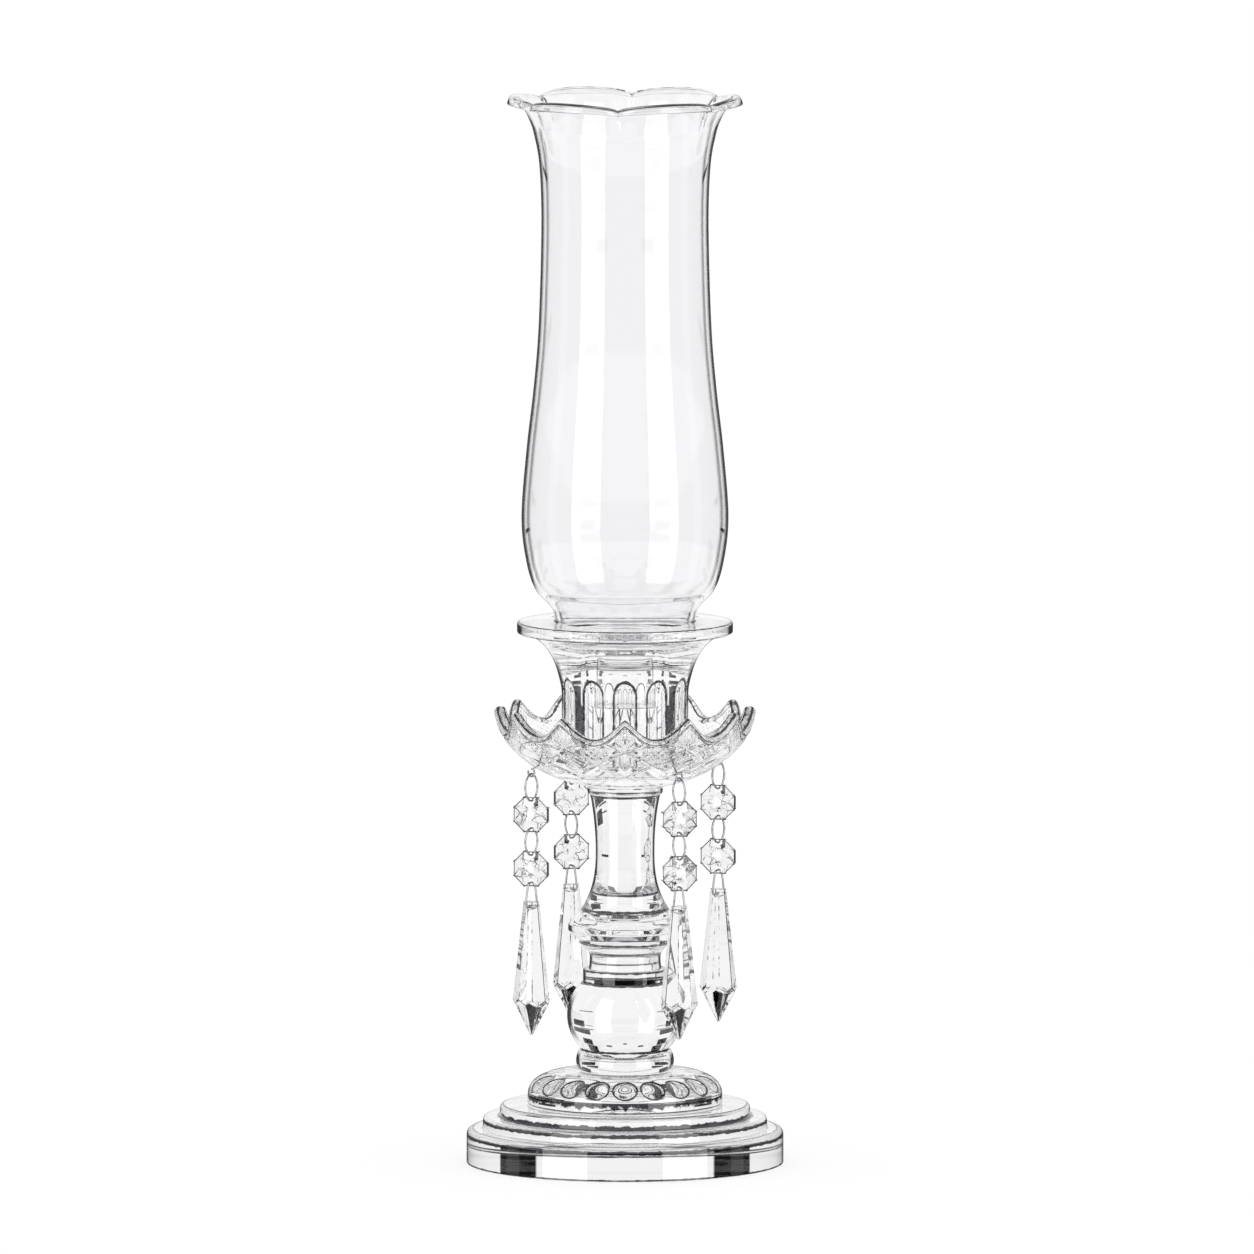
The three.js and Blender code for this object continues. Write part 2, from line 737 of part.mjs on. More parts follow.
for (const chain of chains) {
  const line = new THREE.Group();
  line.position.copy(onCircle(hangerRadius, radians(chain.at), 0));
  holder.add(line);
  const hang = (name, geometry, material, z, turn) => {
    const spot = new THREE.Group();
    spot.position.z = z;
    spot.rotation.z = radians(chain.lean * turn);
    line.add(spot);
    place(`${name}_${chain.name}`, geometry, material, spot);
  };
  place(`pin_${chain.name}`, pinGeometry(chain), wire);
  hang('upper_ring', ringGeometry(), wire, upperRingZ, ringTurn);
  hang('upper_bead', beadGeometry(), glass, upperBeadZ, beadTurn);
  hang('lower_ring', ringGeometry(), wire, lowerRingZ, ringTurn);
  hang('lower_bead', beadGeometry(), glass, lowerBeadZ, beadTurn);
  hang('bail', bailGeometry(), wire, bailZ, ringTurn);
  hang('prism', prismGeometry(), glass, prismZ, prismTurn);
}

export default holder;
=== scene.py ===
import json
import math
import bpy
import numpy as np
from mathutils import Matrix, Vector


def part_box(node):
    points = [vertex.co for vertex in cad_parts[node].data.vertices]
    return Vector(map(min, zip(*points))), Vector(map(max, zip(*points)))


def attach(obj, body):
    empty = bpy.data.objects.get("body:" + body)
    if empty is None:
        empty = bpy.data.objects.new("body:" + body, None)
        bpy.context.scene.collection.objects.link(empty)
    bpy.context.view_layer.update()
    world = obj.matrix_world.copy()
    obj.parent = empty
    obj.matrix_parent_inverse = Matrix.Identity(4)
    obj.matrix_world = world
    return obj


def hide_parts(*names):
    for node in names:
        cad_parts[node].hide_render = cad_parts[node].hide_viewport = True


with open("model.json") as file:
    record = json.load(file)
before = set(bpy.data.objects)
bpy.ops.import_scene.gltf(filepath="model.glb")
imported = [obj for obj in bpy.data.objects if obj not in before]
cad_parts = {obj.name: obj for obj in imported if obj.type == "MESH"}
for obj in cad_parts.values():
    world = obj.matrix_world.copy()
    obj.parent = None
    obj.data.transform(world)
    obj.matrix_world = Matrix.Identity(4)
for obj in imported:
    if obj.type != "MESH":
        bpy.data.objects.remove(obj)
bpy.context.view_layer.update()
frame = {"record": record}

record = frame["record"]
bodyOf = {node: body for body, nodes in record["behaviour"]["bodies"].items() for node in nodes}
mm = 0.001
tau = 2 * math.pi
bond = 0.04  # how far a bonded face stands back, in mm
paintedLineReach = 3  # how far the painted shade lines along a cut's edge reach, in mm
farOff = 9.0  # a distance from a cut's edge at which no painted shade line shows, in mm
print("frame loaded:", len(bodyOf), "nodes")


# Glass. A limb is the two shares of turning away between which an upright wall darkens with painted
# shade, a dark outline in place of the dark surroundings that glass bends in at its edges, and upright the
# two upward shares of its normal between which this fades. A wave is its scale and strength. Widths and
# depths are in mm.
glassLook = {
    "crystalIor": 1.54,
    "crystalTint": (0.915, 0.915, 0.922, 1),
    "footTint": (0.93, 0.93, 0.935, 1),
    "pressedTint": (0.985, 0.985, 0.99, 1),
    "shadeIor": 1.5,
    "shadeTint": (0.955, 0.955, 0.963, 1),
    # painted shade: the near-black put on limbs, cut edges and arrises
    "paintedShadeColour": (0.003, 0.003, 0.004, 1),
    "limb": (0.64, 0.74),
    "stemLimb": (0.57, 0.67),
    "footLimb": (0.8, 0.92),
    "shadeLimb": (0.68, 0.8),
    "upright": (0.35, 0.6),
    "wave": (60, 0.03),
    "shadeWave": (25, 0.4),
    "waveDepth": 0.02,
    # painted shade lines along the cuts' edges
    "lineWide": 0.3,
    "lineUneven": 0.5,
    "lineScale": 350,
    "lineSoft": 0.1,
}
wireLook = {"colour": (0.3, 0.3, 0.32, 1), "markScale": 900, "roughness": (0.08, 0.2)}


# Shape tools, all in millimetres
def span(node):
    # Lowest and highest corner of a CAD node
    return np.array([list(corner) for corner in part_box(node)]) / mm


def rounded(corners, steps=5):
    # An outline of (radius, height, rounding): each corner becomes an arc that touches both its sides,
    # centred on the bisector at rounding / sin(half the corner's angle)
    spots = [np.array(corner[:2], float) for corner in corners]
    line = [spots[0]]
    share = np.linspace(0, 1, steps + 1)[:, None]
    for i in range(1, len(corners) - 1):
        rounding = corners[i][2]
        if rounding == 0:
            line.append(spots[i])
            continue
        back, on = spots[i - 1] - spots[i], spots[i + 1] - spots[i]
        back, on = back / np.linalg.norm(back), on / np.linalg.norm(on)
        half = math.acos(np.clip(back @ on, -1, 1)) / 2
        centre = spots[i] + (back + on) / np.linalg.norm(back + on) * rounding / math.sin(half)
        first = spots[i] + back * rounding / math.tan(half) - centre
        last = spots[i] + on * rounding / math.tan(half) - centre
        sweep = math.pi - 2 * half
        arc = np.sin((1 - share) * sweep) * first + np.sin(share * sweep) * last
        line.extend(centre + arc / math.sin(sweep))
    line.append(spots[-1])
    return flatSides(np.array(line))


def flatSides(line, close=0.12, far=1.5, shortest=0.9, longSide=4):
    # Points just inside each end of a straight side, so that shading stays flat between them, and two more
    # on a long side
    kept = [line[0]]
    for last, on in zip(line[:-1], line[1:]):
        long = np.linalg.norm(on - last)
        if long > shortest:
            inset = np.array([close, far] if long >= longSide else [close])
            shares = np.concatenate([inset, long - inset[::-1]]) / long
            kept.extend(last + shares[:, None] * (on - last))
        kept.append(on)
    return np.array(kept)


def onRings(angles, r, z):
    # Rings of points at radius r and height z, one column for each angle a: x = r cos a, y = r sin a
    return np.stack([r * np.cos(angles), r * np.sin(angles), z + 0 * r + 0 * angles], axis=-1)


def turned(outline, columns=192):
    # An outline of points (r, z) that goes round the axis
    return onRings(np.linspace(0, tau, columns, endpoint=False), outline[:, :1], outline[:, 1:2])


def edgeShadeLines(outline, spots, columns=192):
    # Painted shade lines for a turned piece, dark lines in place of how the glass bends dark surroundings at
    # its edges, from spots of (radius, height, half a line's width). Each line lies on the outline's point
    # nearest to its spot.
    def apart(places):
        return np.linalg.norm(outline[:, None] - places, axis=-1)

    spots = np.array(spots, float)
    found = outline[apart(spots[:, :2]).argmin(axis=0)]
    return (apart(found) / spots[:, 2]).min(axis=1)[:, None] * glassLook["lineWide"] + np.zeros(columns)


def skin(rings, ended=True):
    # Quads between neighbouring rings. Rings run counter-clockwise seen from the end they run towards.
    # An ended skin closes on the middle of its first and last ring, any other joins last to first.
    count, columns = rings.shape[:2]
    low = np.arange(count - 1 if ended else count)[:, None] * columns
    high = (low + columns) % (count * columns)
    here = np.arange(columns)
    there = (here + 1) % columns
    quads = np.stack([low + here, low + there, high + there, high + here], axis=-1).reshape(-1, 4)
    points = rings.reshape(-1, 3)
    faces = quads.tolist()
    if ended:
        first, last, top = count * columns, count * columns + 1, (count - 1) * columns
        points = np.vstack([points, rings[0].mean(axis=0), rings[-1].mean(axis=0)])
        faces += np.stack([first + 0 * here, there, here], axis=-1).tolist()
        faces += np.stack([last + 0 * here, top + here, top + there], axis=-1).tolist()
    return points, faces


def turnedAndMoved(points, turn, spot):
    # Points turned about the upright axis through the origin, then moved to a spot
    c, s = math.cos(math.radians(turn)), math.sin(math.radians(turn))
    return points @ np.array([[c, s, 0], [-s, c, 0], [0, 0, 1]]) + spot


def piece(name, node, shape, material, sharp=30, marks=None, arrisShade=None):
    # One finished piece that stands for a CAD node and rides where it rides. Marks are each point's distance
    # in mm from the nearest edge of a cut, kept as the lines' reach minus that distance, for the painted
    # shade lines of the glass. Arrises say how much painted shade each face gets.
    points, faces = shape
    mesh = bpy.data.meshes.new(name)
    mesh.from_pydata((points * mm).tolist(), [], faces)
    mesh.polygons.foreach_set("use_smooth", np.ones(len(mesh.polygons), bool))
    mesh.set_sharp_from_angle(angle=math.radians(sharp))
    mesh.materials.append(material)
    # painted shade lines along the cuts' edges, put in an attribute that the glass reads
    if marks is not None:
        values = np.zeros(len(points))
        values[:marks.size] = np.clip(paintedLineReach - marks, 0, 2 * paintedLineReach).ravel()
        mesh.attributes.new("paintedEdgeShade", "FLOAT", "POINT").data.foreach_set("value", values)
    # painted shade on the arris faces, one value a face
    if arrisShade is not None:
        mesh.attributes.new("paintedEdgeShade", "FLOAT", "FACE").data.foreach_set("value", paintedLineReach * arrisShade)
    made = bpy.data.objects.new(name, mesh)
    bpy.context.scene.collection.objects.link(made)
    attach(made, bodyOf[node])
    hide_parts(node)


# Node tools
def startNodes(tree):
    # Empties a node tree and gives what fills it: add a node with its sockets, calculate, ramp and link
    tree.nodes.clear()

    def add(kind, sockets=None, **values):
        node = tree.nodes.new(kind)
        for key, value in values.items():
            setattr(node, key, value)
        for key, value in (sockets or {}).items():
            node.inputs[key].default_value = value
        return node

    def calc(operation, *values):
        node = add("ShaderNodeMath", operation=operation)
        for i, value in enumerate(values):
            if isinstance(value, (int, float)):
                node.inputs[i].default_value = value
            else:
                tree.links.new(value, node.inputs[i])
        return node.outputs[0]

    def ramp(value, low, high, first=0, last=1, kind="SMOOTHSTEP"):
        # first up to low, last from high on, and a step between them
        sockets = {"From Min": low, "From Max": high, "To Min": first, "To Max": last}
        node = add("ShaderNodeMapRange", sockets, interpolation_type=kind)
        tree.links.new(value, node.inputs["Value"])
        return node.outputs["Result"]

    return add, calc, ramp, tree.links.new


def glassMaterial(name, ior, tint, limb, wave):
    # Clear glass with a faint waviness. It darkens at its limbs with painted shade, and on each mark of a
    # cut's edge lies a painted dark line of uneven width; both stand in for dark surroundings bent in by the
    # glass.
    material = bpy.data.materials.new(name)
    material.use_nodes = True
    add, calc, ramp, link = startNodes(material.node_tree)
    output = add("ShaderNodeOutputMaterial")
    glass = add("ShaderNodeBsdfPrincipled", {"Roughness": 0, "IOR": ior, "Transmission Weight": 1})
    colour = add("ShaderNodeMix", {"A": tint, "B": glassLook["paintedShadeColour"]}, data_type="RGBA")
    where = add("ShaderNodeTexCoord")
    facing = add("ShaderNodeLayerWeight", {"Blend": 0.5})
    form = add("ShaderNodeNewGeometry")
    split = add("ShaderNodeSeparateXYZ")
    link(form.outputs["True Normal"], split.inputs[0])
    upright = ramp(calc("ABSOLUTE", split.outputs["Z"]), *glassLook["upright"], 1, 0)
    # painted shade at the limbs of upright walls
    dark = calc("MULTIPLY", ramp(facing.outputs["Facing"], *limb), upright)
    # painted shade lines along the cuts' edges
    marks = add("ShaderNodeAttribute", attribute_name="paintedEdgeShade")
    uneven = add("ShaderNodeTexNoise", {"Scale": glassLook["lineScale"]})
    link(where.outputs["Object"], uneven.inputs["Vector"])
    wide = calc("MULTIPLY", calc("SUBTRACT", uneven.outputs["Fac"], 0.5), glassLook["lineUneven"])
    wide = calc("ADD", wide, glassLook["lineWide"])
    off = calc("ABSOLUTE", calc("SUBTRACT", marks.outputs["Fac"], paintedLineReach))
    line = ramp(calc("SUBTRACT", wide, off), 0, glassLook["lineSoft"])
    link(calc("MAXIMUM", dark, line), colour.inputs["Factor"])
    link(colour.outputs["Result"], glass.inputs["Base Color"])
    waves = add("ShaderNodeTexNoise", {"Scale": wave[0], "Detail": 1})
    bump = add("ShaderNodeBump", {"Strength": wave[1], "Distance": glassLook["waveDepth"] * mm})
    link(where.outputs["Object"], waves.inputs["Vector"])
    link(waves.outputs["Fac"], bump.inputs["Height"])
    link(bump.outputs["Normal"], glass.inputs["Normal"])
    link(glass.outputs[0], output.inputs["Surface"])
    return material


def crystalMaterial(name, tint, limb):
    return glassMaterial(name, glassLook["crystalIor"], glassLook[tint], glassLook[limb], glassLook["wave"])


def wireMaterial():
    # Bright plated wire, made a little rougher and smoother by fine drawing marks
    material = bpy.data.materials.new("plated_wire")
    material.use_nodes = True
    add, _, ramp, link = startNodes(material.node_tree)
    output = add("ShaderNodeOutputMaterial")
    metal = add("ShaderNodeBsdfPrincipled", {"Base Color": wireLook["colour"], "Metallic": 1})
    where = add("ShaderNodeTexCoord")
    marks = add("ShaderNodeTexNoise", {"Scale": wireLook["markScale"]})
    link(where.outputs["Object"], marks.inputs["Vector"])
    link(ramp(marks.outputs["Fac"], 0, 1, *wireLook["roughness"], "LINEAR"), metal.inputs["Roughness"])
    link(metal.outputs[0], output.inputs["Surface"])
    return material


crystal = crystalMaterial("cut_crystal", "crystalTint", "limb")
stemCrystal = crystalMaterial("stem_crystal", "crystalTint", "stemLimb")
footCrystal = crystalMaterial("foot_crystal", "footTint", "footLimb")
pressed = crystalMaterial("pressed_crystal", "pressedTint", "limb")
shadeGlass = glassMaterial("blown_glass", glassLook["shadeIor"], glassLook["shadeTint"],
                           glassLook["shadeLimb"], glassLook["shadeWave"])
wire = wireMaterial()
print("materials made")


# Foot: three steps with fire-polished edges, the upper two drawn in a little for the mould. Lines are painted
# shade lines at edges as (radius, height, half the line's width), and flats the widths of the end faces'
# outermost rings.
foot = {"middleRadius": 57.2, "topRadius": 50.4, "lowEdge": 13.9, "middleEdge": 18.9, "lowPolish": 2.4,
        "polish": 1.7, "inner": 0.5, "under": 0.4, "draft": 0.45, "flats": (9, 4), "columns": 256,
        "lines": ((63.5, 0.5, 0.4), (63.5, 11.5, 0.9), (61.4, 13.9, 0.4), (57.2, 17.2, 0.9),
                  (50.4, 20.2, 1.5), (49.2, 23.7, 0.4))}


def footShape():
    # An outline with rounded corners, turned round the axis
    low, high = span("stepped_foot")
    middle, top = foot["middleRadius"], foot["topRadius"]
    outline = rounded([
        (high[0] - foot["flats"][0], low[2], 0),
        (high[0], low[2], foot["under"]),
        (high[0], foot["lowEdge"], foot["lowPolish"]),
        (middle, foot["lowEdge"], foot["inner"]),
        (middle - foot["draft"], foot["middleEdge"], foot["polish"]),
        (top, foot["middleEdge"], foot["inner"]),
        (top - foot["draft"], high[2], foot["polish"]),
        (top - foot["flats"][1], high[2], 0),
    ])
    return skin(turned(outline, foot["columns"])), edgeShadeLines(outline, foot["lines"], foot["columns"])


shape, marks = footShape()
piece("stepped_foot_glass", "stepped_foot", shape, footCrystal, marks=marks)

# Dome: an upright edge and a quarter-oval shoulder with a row of oval cuts, ringed by painted shade lines
dome = {"topRadius": 24.8, "shoulder": 9, "bend": 0.9, "petals": 20, "petalWide": 0.43, "petalMiddle": 0.42,
        "petalTall": 0.3, "petalDepth": 1.1, "petalBend": 0.7, "shadeLineSpread": 1.7, "polish": 0.8, "draft": 0.25,
        "flat": 3, "topFlat": (18.5, 12), "line": 0.3, "lineHigh": 0.6, "rings": 64, "columns": 720}


def domeShape():
    # Shoulder: r = top + (edge - top) cos t, z = edge height + shoulder sin(t)^bend. Each petal is cut
    # square to the shoulder by depth (1 - across^2 - along^2)^bend.
    low, high = span("petal_dome")
    baseZ, edgeZ = low[2] + bond, high[2] - dome["shoulder"]
    angles = np.linspace(0, tau, dome["columns"], endpoint=False)
    share = np.linspace(0.02, 1, dome["rings"])[:, None]
    t = share * tau / 4
    r = dome["topRadius"] + (high[0] - dome["draft"] - dome["topRadius"]) * np.cos(t)
    z = edgeZ + dome["shoulder"] * np.sin(t) ** dome["bend"]
    pitch = tau / dome["petals"]
    across = (angles / pitch - np.round(angles / pitch)) / dome["petalWide"]
    along = (share - dome["petalMiddle"]) / dome["petalTall"]
    cut = dome["petalDepth"] * np.clip(1 - across ** 2 - along ** 2, 0, 1) ** dome["petalBend"]
    shoulder = onRings(angles, r - cut * np.cos(t), z - cut * np.sin(t))
    outline = rounded([(high[0] - dome["flat"], baseZ, 0), (high[0], baseZ, dome["polish"]),
                       (high[0] - dome["draft"], edgeZ, 0)])
    edge = turned(outline, dome["columns"])
    top = turned(np.array([[radius, high[2]] for radius in dome["topFlat"]]), dome["columns"])
    lines = [(high[0], low[2] + dome["lineHigh"], dome["line"]), (high[0], edgeZ, dome["line"])]
    # painted shade lines along the edge and round each petal
    marks = np.full((len(edge) + len(shoulder), len(angles)), farOff)
    marks[:len(edge)] = edgeShadeLines(outline, lines, dome["columns"])
    petalRadius = dome["petalWide"] * pitch * r
    marks[len(edge):] = (np.sqrt(across ** 2 + along ** 2) - 1) * petalRadius / dome["shadeLineSpread"]
    return skin(np.concatenate([edge, shoulder, top])), marks


shape, marks = domeShape()
piece("petal_dome_glass", "petal_dome", shape, footCrystal, 24, marks)

# Stem: a collar, a ball, a spool, a lens-shaped knop and a waisted column
stem = {"line": 0.8, "edge": 0.3, "flat": 3,
        "collarSag": 2, "collarBend": 0.6,
        "ballEnd": 17.3,
        "discRadius": 16.9, "discHeight": 5.2, "spoolWaist": 14.2, "spoolLow": 0.42, "spoolFoot": 0.8,
        "spoolTop": 4.4, "spoolFull": 1.9,
        "knopEnd": 17.4, "knopEdge": 0.4, "knopLow": (0.36, 1.2), "knopHigh": (0.54, 1.4), "knopLean": 0.1,
        "columnWaist": 11.8, "columnLow": 2.6, "columnHigh": 2.2, "columnFlare": 2.3, "lipTall": 3.5,
        "lipRadius": 15.1, "lipRounding": (1.2, 1.3)}


def bonded(outline, *edges):
    # A stem piece, turned, with its end faces standing back by the bond. Its ends and the edges at the given
    # heights get painted shade lines.
    outline = np.vstack([outline[0] - [1, 0], outline, outline[-1] - [1, 0]])
    outline[:, 1] = np.clip(outline[:, 1], outline[0, 1] + bond, outline[-1, 1] - bond)
    spots = []
    for z in (outline[0, 1], *edges, outline[-1, 1]):
        nearest = np.argmin(np.abs(outline[:, 1] - z) - 0.01 * outline[:, 0])  # the outermost at this height
        spots.append([*outline[nearest], stem["line"]])
    return skin(turned(outline)), edgeShadeLines(outline, spots)


def collarShape():
    # r = widest - sag (1 - sin(pi share)^bend)
    low, high = span("stem_collar")
    share = np.linspace(0, 1, 40)
    r = high[0] - stem["collarSag"] * (1 - np.sin(math.pi * share) ** stem["collarBend"])
    return bonded(np.stack([r, low[2] + share * (high[2] - low[2])], axis=-1))


def ballShape():
    # An oval, cut flat where it is as narrow as its ends: r = R sqrt(1 - (z / half)^2)
    low, high = span("stem_ball")
    middle, halfCut = (low[2] + high[2]) / 2, (high[2] - low[2]) / 2
    half = halfCut / math.sqrt(1 - (stem["ballEnd"] / high[0]) ** 2)
    z = halfCut * np.sin(np.linspace(-1, 1, 72) * tau / 4)
    return bonded(np.stack([high[0] * np.sqrt(1 - (z / half) ** 2), middle + z], axis=-1))


def spoolShape():
    # A flat disc, then a waist that is narrowest at the share spoolLow of its height, with one reach below
    # and one above: r = waist + reach min((1 - share / low)^2, full) / full
    low, high = span("stem_spool")
    radius, waist, discZ = stem["discRadius"], stem["spoolWaist"], low[2] + stem["discHeight"]
    disc = rounded([(radius - stem["flat"], low[2], 0), (radius, low[2], stem["edge"]),
                    (radius, discZ, stem["edge"]), (waist + 1.2, discZ + 0.2, 0)])
    share = np.linspace(0, 1, 24)
    flare = np.clip((1 - share / stem["spoolLow"]) ** 2, 0, stem["spoolFull"]) / stem["spoolFull"]
    r = waist + np.where(share < stem["spoolLow"], stem["spoolFoot"], stem["spoolTop"]) * flare
    z = discZ + 0.3 + share * (high[2] - discZ - 0.3)
    return bonded(np.concatenate([disc, np.stack([r, z], axis=-1)]), discZ)


def knopShape():
    # Two slopes that meet in a blunt edge, its corners rounded
    low, high = span("stem_knop")
    end, edge, tall = stem["knopEnd"], stem["knopEdge"], high[2] - low[2]
    (lowShare, lowRounding), (highShare, highRounding) = stem["knopLow"], stem["knopHigh"]
    return bonded(rounded([
        (end - stem["flat"], low[2], 0),
        (end, low[2], edge),
        (high[0], low[2] + lowShare * tall, lowRounding),
        (high[0] - stem["knopLean"], low[2] + highShare * tall, highRounding),
        (end, high[2], edge),
        (end - stem["flat"], high[2], 0),
    ], 8))


def columnShape():
    # Two smooth flares from the waist, r = waist + flare u^power, down to the knop and up to the lip, where u
    # goes from 0 at half the height to 1 at the end
    low, high = span("stem_column")
    tall = high[2] - low[2] - stem["lipTall"]
    share = np.linspace(0, 1, 60)
    down = (stem["knopEnd"] - stem["columnWaist"]) * np.clip(1 - share / 0.5, 0, 1) ** stem["columnLow"]
    up = stem["columnFlare"] * np.clip((share - 0.5) / 0.5, 0, 1) ** stem["columnHigh"]
    side = np.stack([stem["columnWaist"] + down + up, low[2] + share * tall], axis=-1)
    (neck, lipZ), radius = side[-1], stem["lipRadius"]
    lip = rounded([
        (neck, lipZ, 0),
        (radius, lipZ + 0.3, stem["lipRounding"][0]),
        (radius, high[2], stem["lipRounding"][1]),
        (radius - stem["flat"], high[2], 0),
    ])
    return bonded(np.concatenate([side, lip[1:]]), lipZ)


stemShapes = {"stem_collar": collarShape, "stem_ball": ballShape, "stem_spool": spoolShape,
              "stem_knop": knopShape, "stem_column": columnShape}
for node, makeShape in stemShapes.items():
    shape, marks = makeShape()
    piece(node + "_glass", node, shape, stemCrystal, marks=marks)
print("foot and stem made")

# Drip dish: an oval bowl with scallops, cut with grooves that carry painted shade lines. The cuts are given
# on half a scallop laid flat, in mm below the tips: where the zigzag turns, a fan's (base, top, spread,
# rise), a check line's (middle, rise).
dish = {"radius": 52.4, "depth": 33.3, "wall": 5, "floor": 6.1, "scallops": 12, "drop": 8.2,
        "sharpness": 0.65, "lip": 2.2, "lipShadeLines": (0.3, 2.4), "lipShadeReach": 2.9, "columns": 64,
        "outerRings": 84, "innerRings": 26, "grooveDepth": 0.4, "grooveWide": 1.0, "shadeLineBack": 0.14,
        "halfScallop": 12.2, "band": 3.4, "bandWiden": 0.75, "zigzag": (9.8, 12.8, 19.6, 25.4),
        "fan": (0, 1.9, 3.6), "highFan": (12.4, 5.2, 1, 0.5), "lowFan": (22.5, 18.6, 0.7, 0.4),
        "fanFine": 0.15, "checks": (-2.6, 0, 2.6), "checkWide": 4.6, "checkLines": ((13, 1.6), (14.8, -1.6)),
        "checkFine": 0.27}


def ovalRadius(z, radius, depth, tipZ):
    # r = radius sqrt(1 - (depth below the tips / whole depth)^2)
    return radius * np.sqrt(np.clip(1 - ((tipZ - z) / depth) ** 2, 0, 1))


def scallopDrop(away):
    # How far the edge lies below a tip; away is 0 at a tip and 1 halfway to the next
    return dish["drop"] * np.sin(tau / 4 * away ** dish["sharpness"]) ** 2


def nearSegment(x, y, start, end):
    # Distance from points to a straight line between two spots
    (ax, ay), (bx, by) = start, end
    along = np.clip(((x - ax) * (bx - ax) + (y - ay) * (by - ay)) / ((bx - ax) ** 2 + (by - ay) ** 2), 0, 1)
    return np.hypot(x - ax - along * (bx - ax), y - ay - along * (by - ay))


def dishGrooves():
    # Straight lines as two ends (across, below the tips) and by how much the line is finer: a zigzag that
    # makes the diamonds, two fans at each tip, and checks in each valley
    half = dish["halfScallop"]
    turns = list(zip((half, 0, half, 0), dish["zigzag"]))
    lines = [(start, end, 0) for start, end in zip(turns[:-1], turns[1:])]
    for base, top, spread, rise in (dish["highFan"], dish["lowFan"]):
        lines += [((0, base), (spread * out, top + rise * out), dish["fanFine"]) for out in dish["fan"]]
    inner = half - dish["checkWide"]
    for middle, rise in dish["checkLines"]:
        lines += [((inner, middle + step + rise), (half, middle + step - rise), dish["checkFine"])
                  for step in dish["checks"]]
    return lines


def dishCuts(away, below, drop):
    # Depth of the grooves and their painted shade lines, at away (0 at a tip, 1 in a valley) and at a depth
    # below the tips. V-shaped: depth (1 - distance / width). One more groove follows the scallops.
    x = away * dish["halfScallop"]
    near = np.abs(below - drop - dish["band"]) * dish["bandWiden"] + 0 * x
    for start, end, finer in dishGrooves():
        near = np.minimum(near, nearSegment(x, below, start, end) + finer)
    return dish["grooveDepth"] * np.clip(1 - near / dish["grooveWide"], 0, 1), near + dish["shadeLineBack"]


def lipShadeDistance(fall):
    # Distance from the nearer of the lip's two painted shade lines, at a depth below the edge
    first, second = dish["lipShadeLines"]
    return np.where(fall < (first + second) / 2, fall - first, second - fall)


def dishShape():
    # Both sides are ovals up to a scalloped edge
    low, high = span("drip_dish")
    tipZ, floorZ = high[2], span("candle_socket")[0][2]
    radius, depth, lip = dish["radius"], dish["depth"], dish["lip"]
    inside = (radius - dish["wall"], depth - dish["floor"], tipZ)
    angles = np.linspace(0, tau, dish["scallops"] * dish["columns"], endpoint=False)
    pitch = tau / dish["scallops"]
    away = np.abs(angles / pitch - np.round(angles / pitch)) * 2
    drop = scallopDrop(away)
    edgeZ = tipZ - drop
    lipZ = edgeZ - lip
    # outer side: rings from the foot to the lip, cut square to the surface
    footZ = low[2] + bond
    z = footZ + np.linspace(0, 1, dish["outerRings"])[:, None] ** 0.8 * (lipZ - footZ)
    r = ovalRadius(z, radius, depth, tipZ)
    cut, marks = dishCuts(away, tipZ - z, drop)
    cut = cut * np.clip((z - footZ) / 3, 0, 1) * np.clip((lipZ - z) / 0.6, 0, 1)
    # near the edge the painted shade lines follow the lip instead
    marks = np.where(edgeZ - z < dish["lipShadeReach"], lipShadeDistance(edgeZ - z), marks)
    nr, nz = r / radius ** 2, (z - tipZ) / depth ** 2
    size = np.hypot(nr, nz)
    outer = onRings(angles, r - cut * nr / size, z - cut * nz / size)
    # lip: a quarter round on each side of the edge
    t = np.linspace(0, tau / 4, 7)[1:, None]
    roundZ = lipZ + lip * np.sin(t)
    over = onRings(angles, ovalRadius(lipZ, radius, depth, tipZ) - lip * (1 - np.cos(t)), roundZ)
    back = onRings(angles, ovalRadius(lipZ, *inside) + lip * (1 - np.cos(t)), roundZ)[::-1]
    onLip = lipShadeDistance(edgeZ - roundZ)
    # inner side: rings down to the flat floor under the socket
    z = floorZ - bond + np.linspace(1, 0, dish["innerRings"])[:, None] * (lipZ - floorZ)
    inner = onRings(angles, ovalRadius(z, *inside), z)
    marks = np.concatenate([marks, onLip, onLip[::-1]])
    return skin(np.concatenate([outer, over, back, inner])), marks


shape, marks = dishShape()
piece("drip_dish_glass", "drip_dish", shape, pressed, 22, marks)
print("dish made")

# Candle socket: a fluted cup that flares to a flange, bored for the shade, the wax cup and the candle
socket = {"radius": 25.7, "flutes": 12, "fluteHalf": 4.5, "fluteDepth": 1.15, "fluteBend": 0.8,
          "archStart": 29, "archTall": 6, "flare": 25.4, "flange": 4.8, "flangeIn": 1, "flangeRise": 0.2,
          "under": 0.9, "polish": 1.2, "seatRadius": 28.2, "seatDepth": 2.2, "waxRadius": 24.4,
          "waxDepth": 2.6, "waxFall": 2, "wellRadius": 11.4, "wellDepth": 33.8, "wellPolish": 0.8,
          "shadeLineSpread": 1.8, "line": 0.4, "columns": 48}


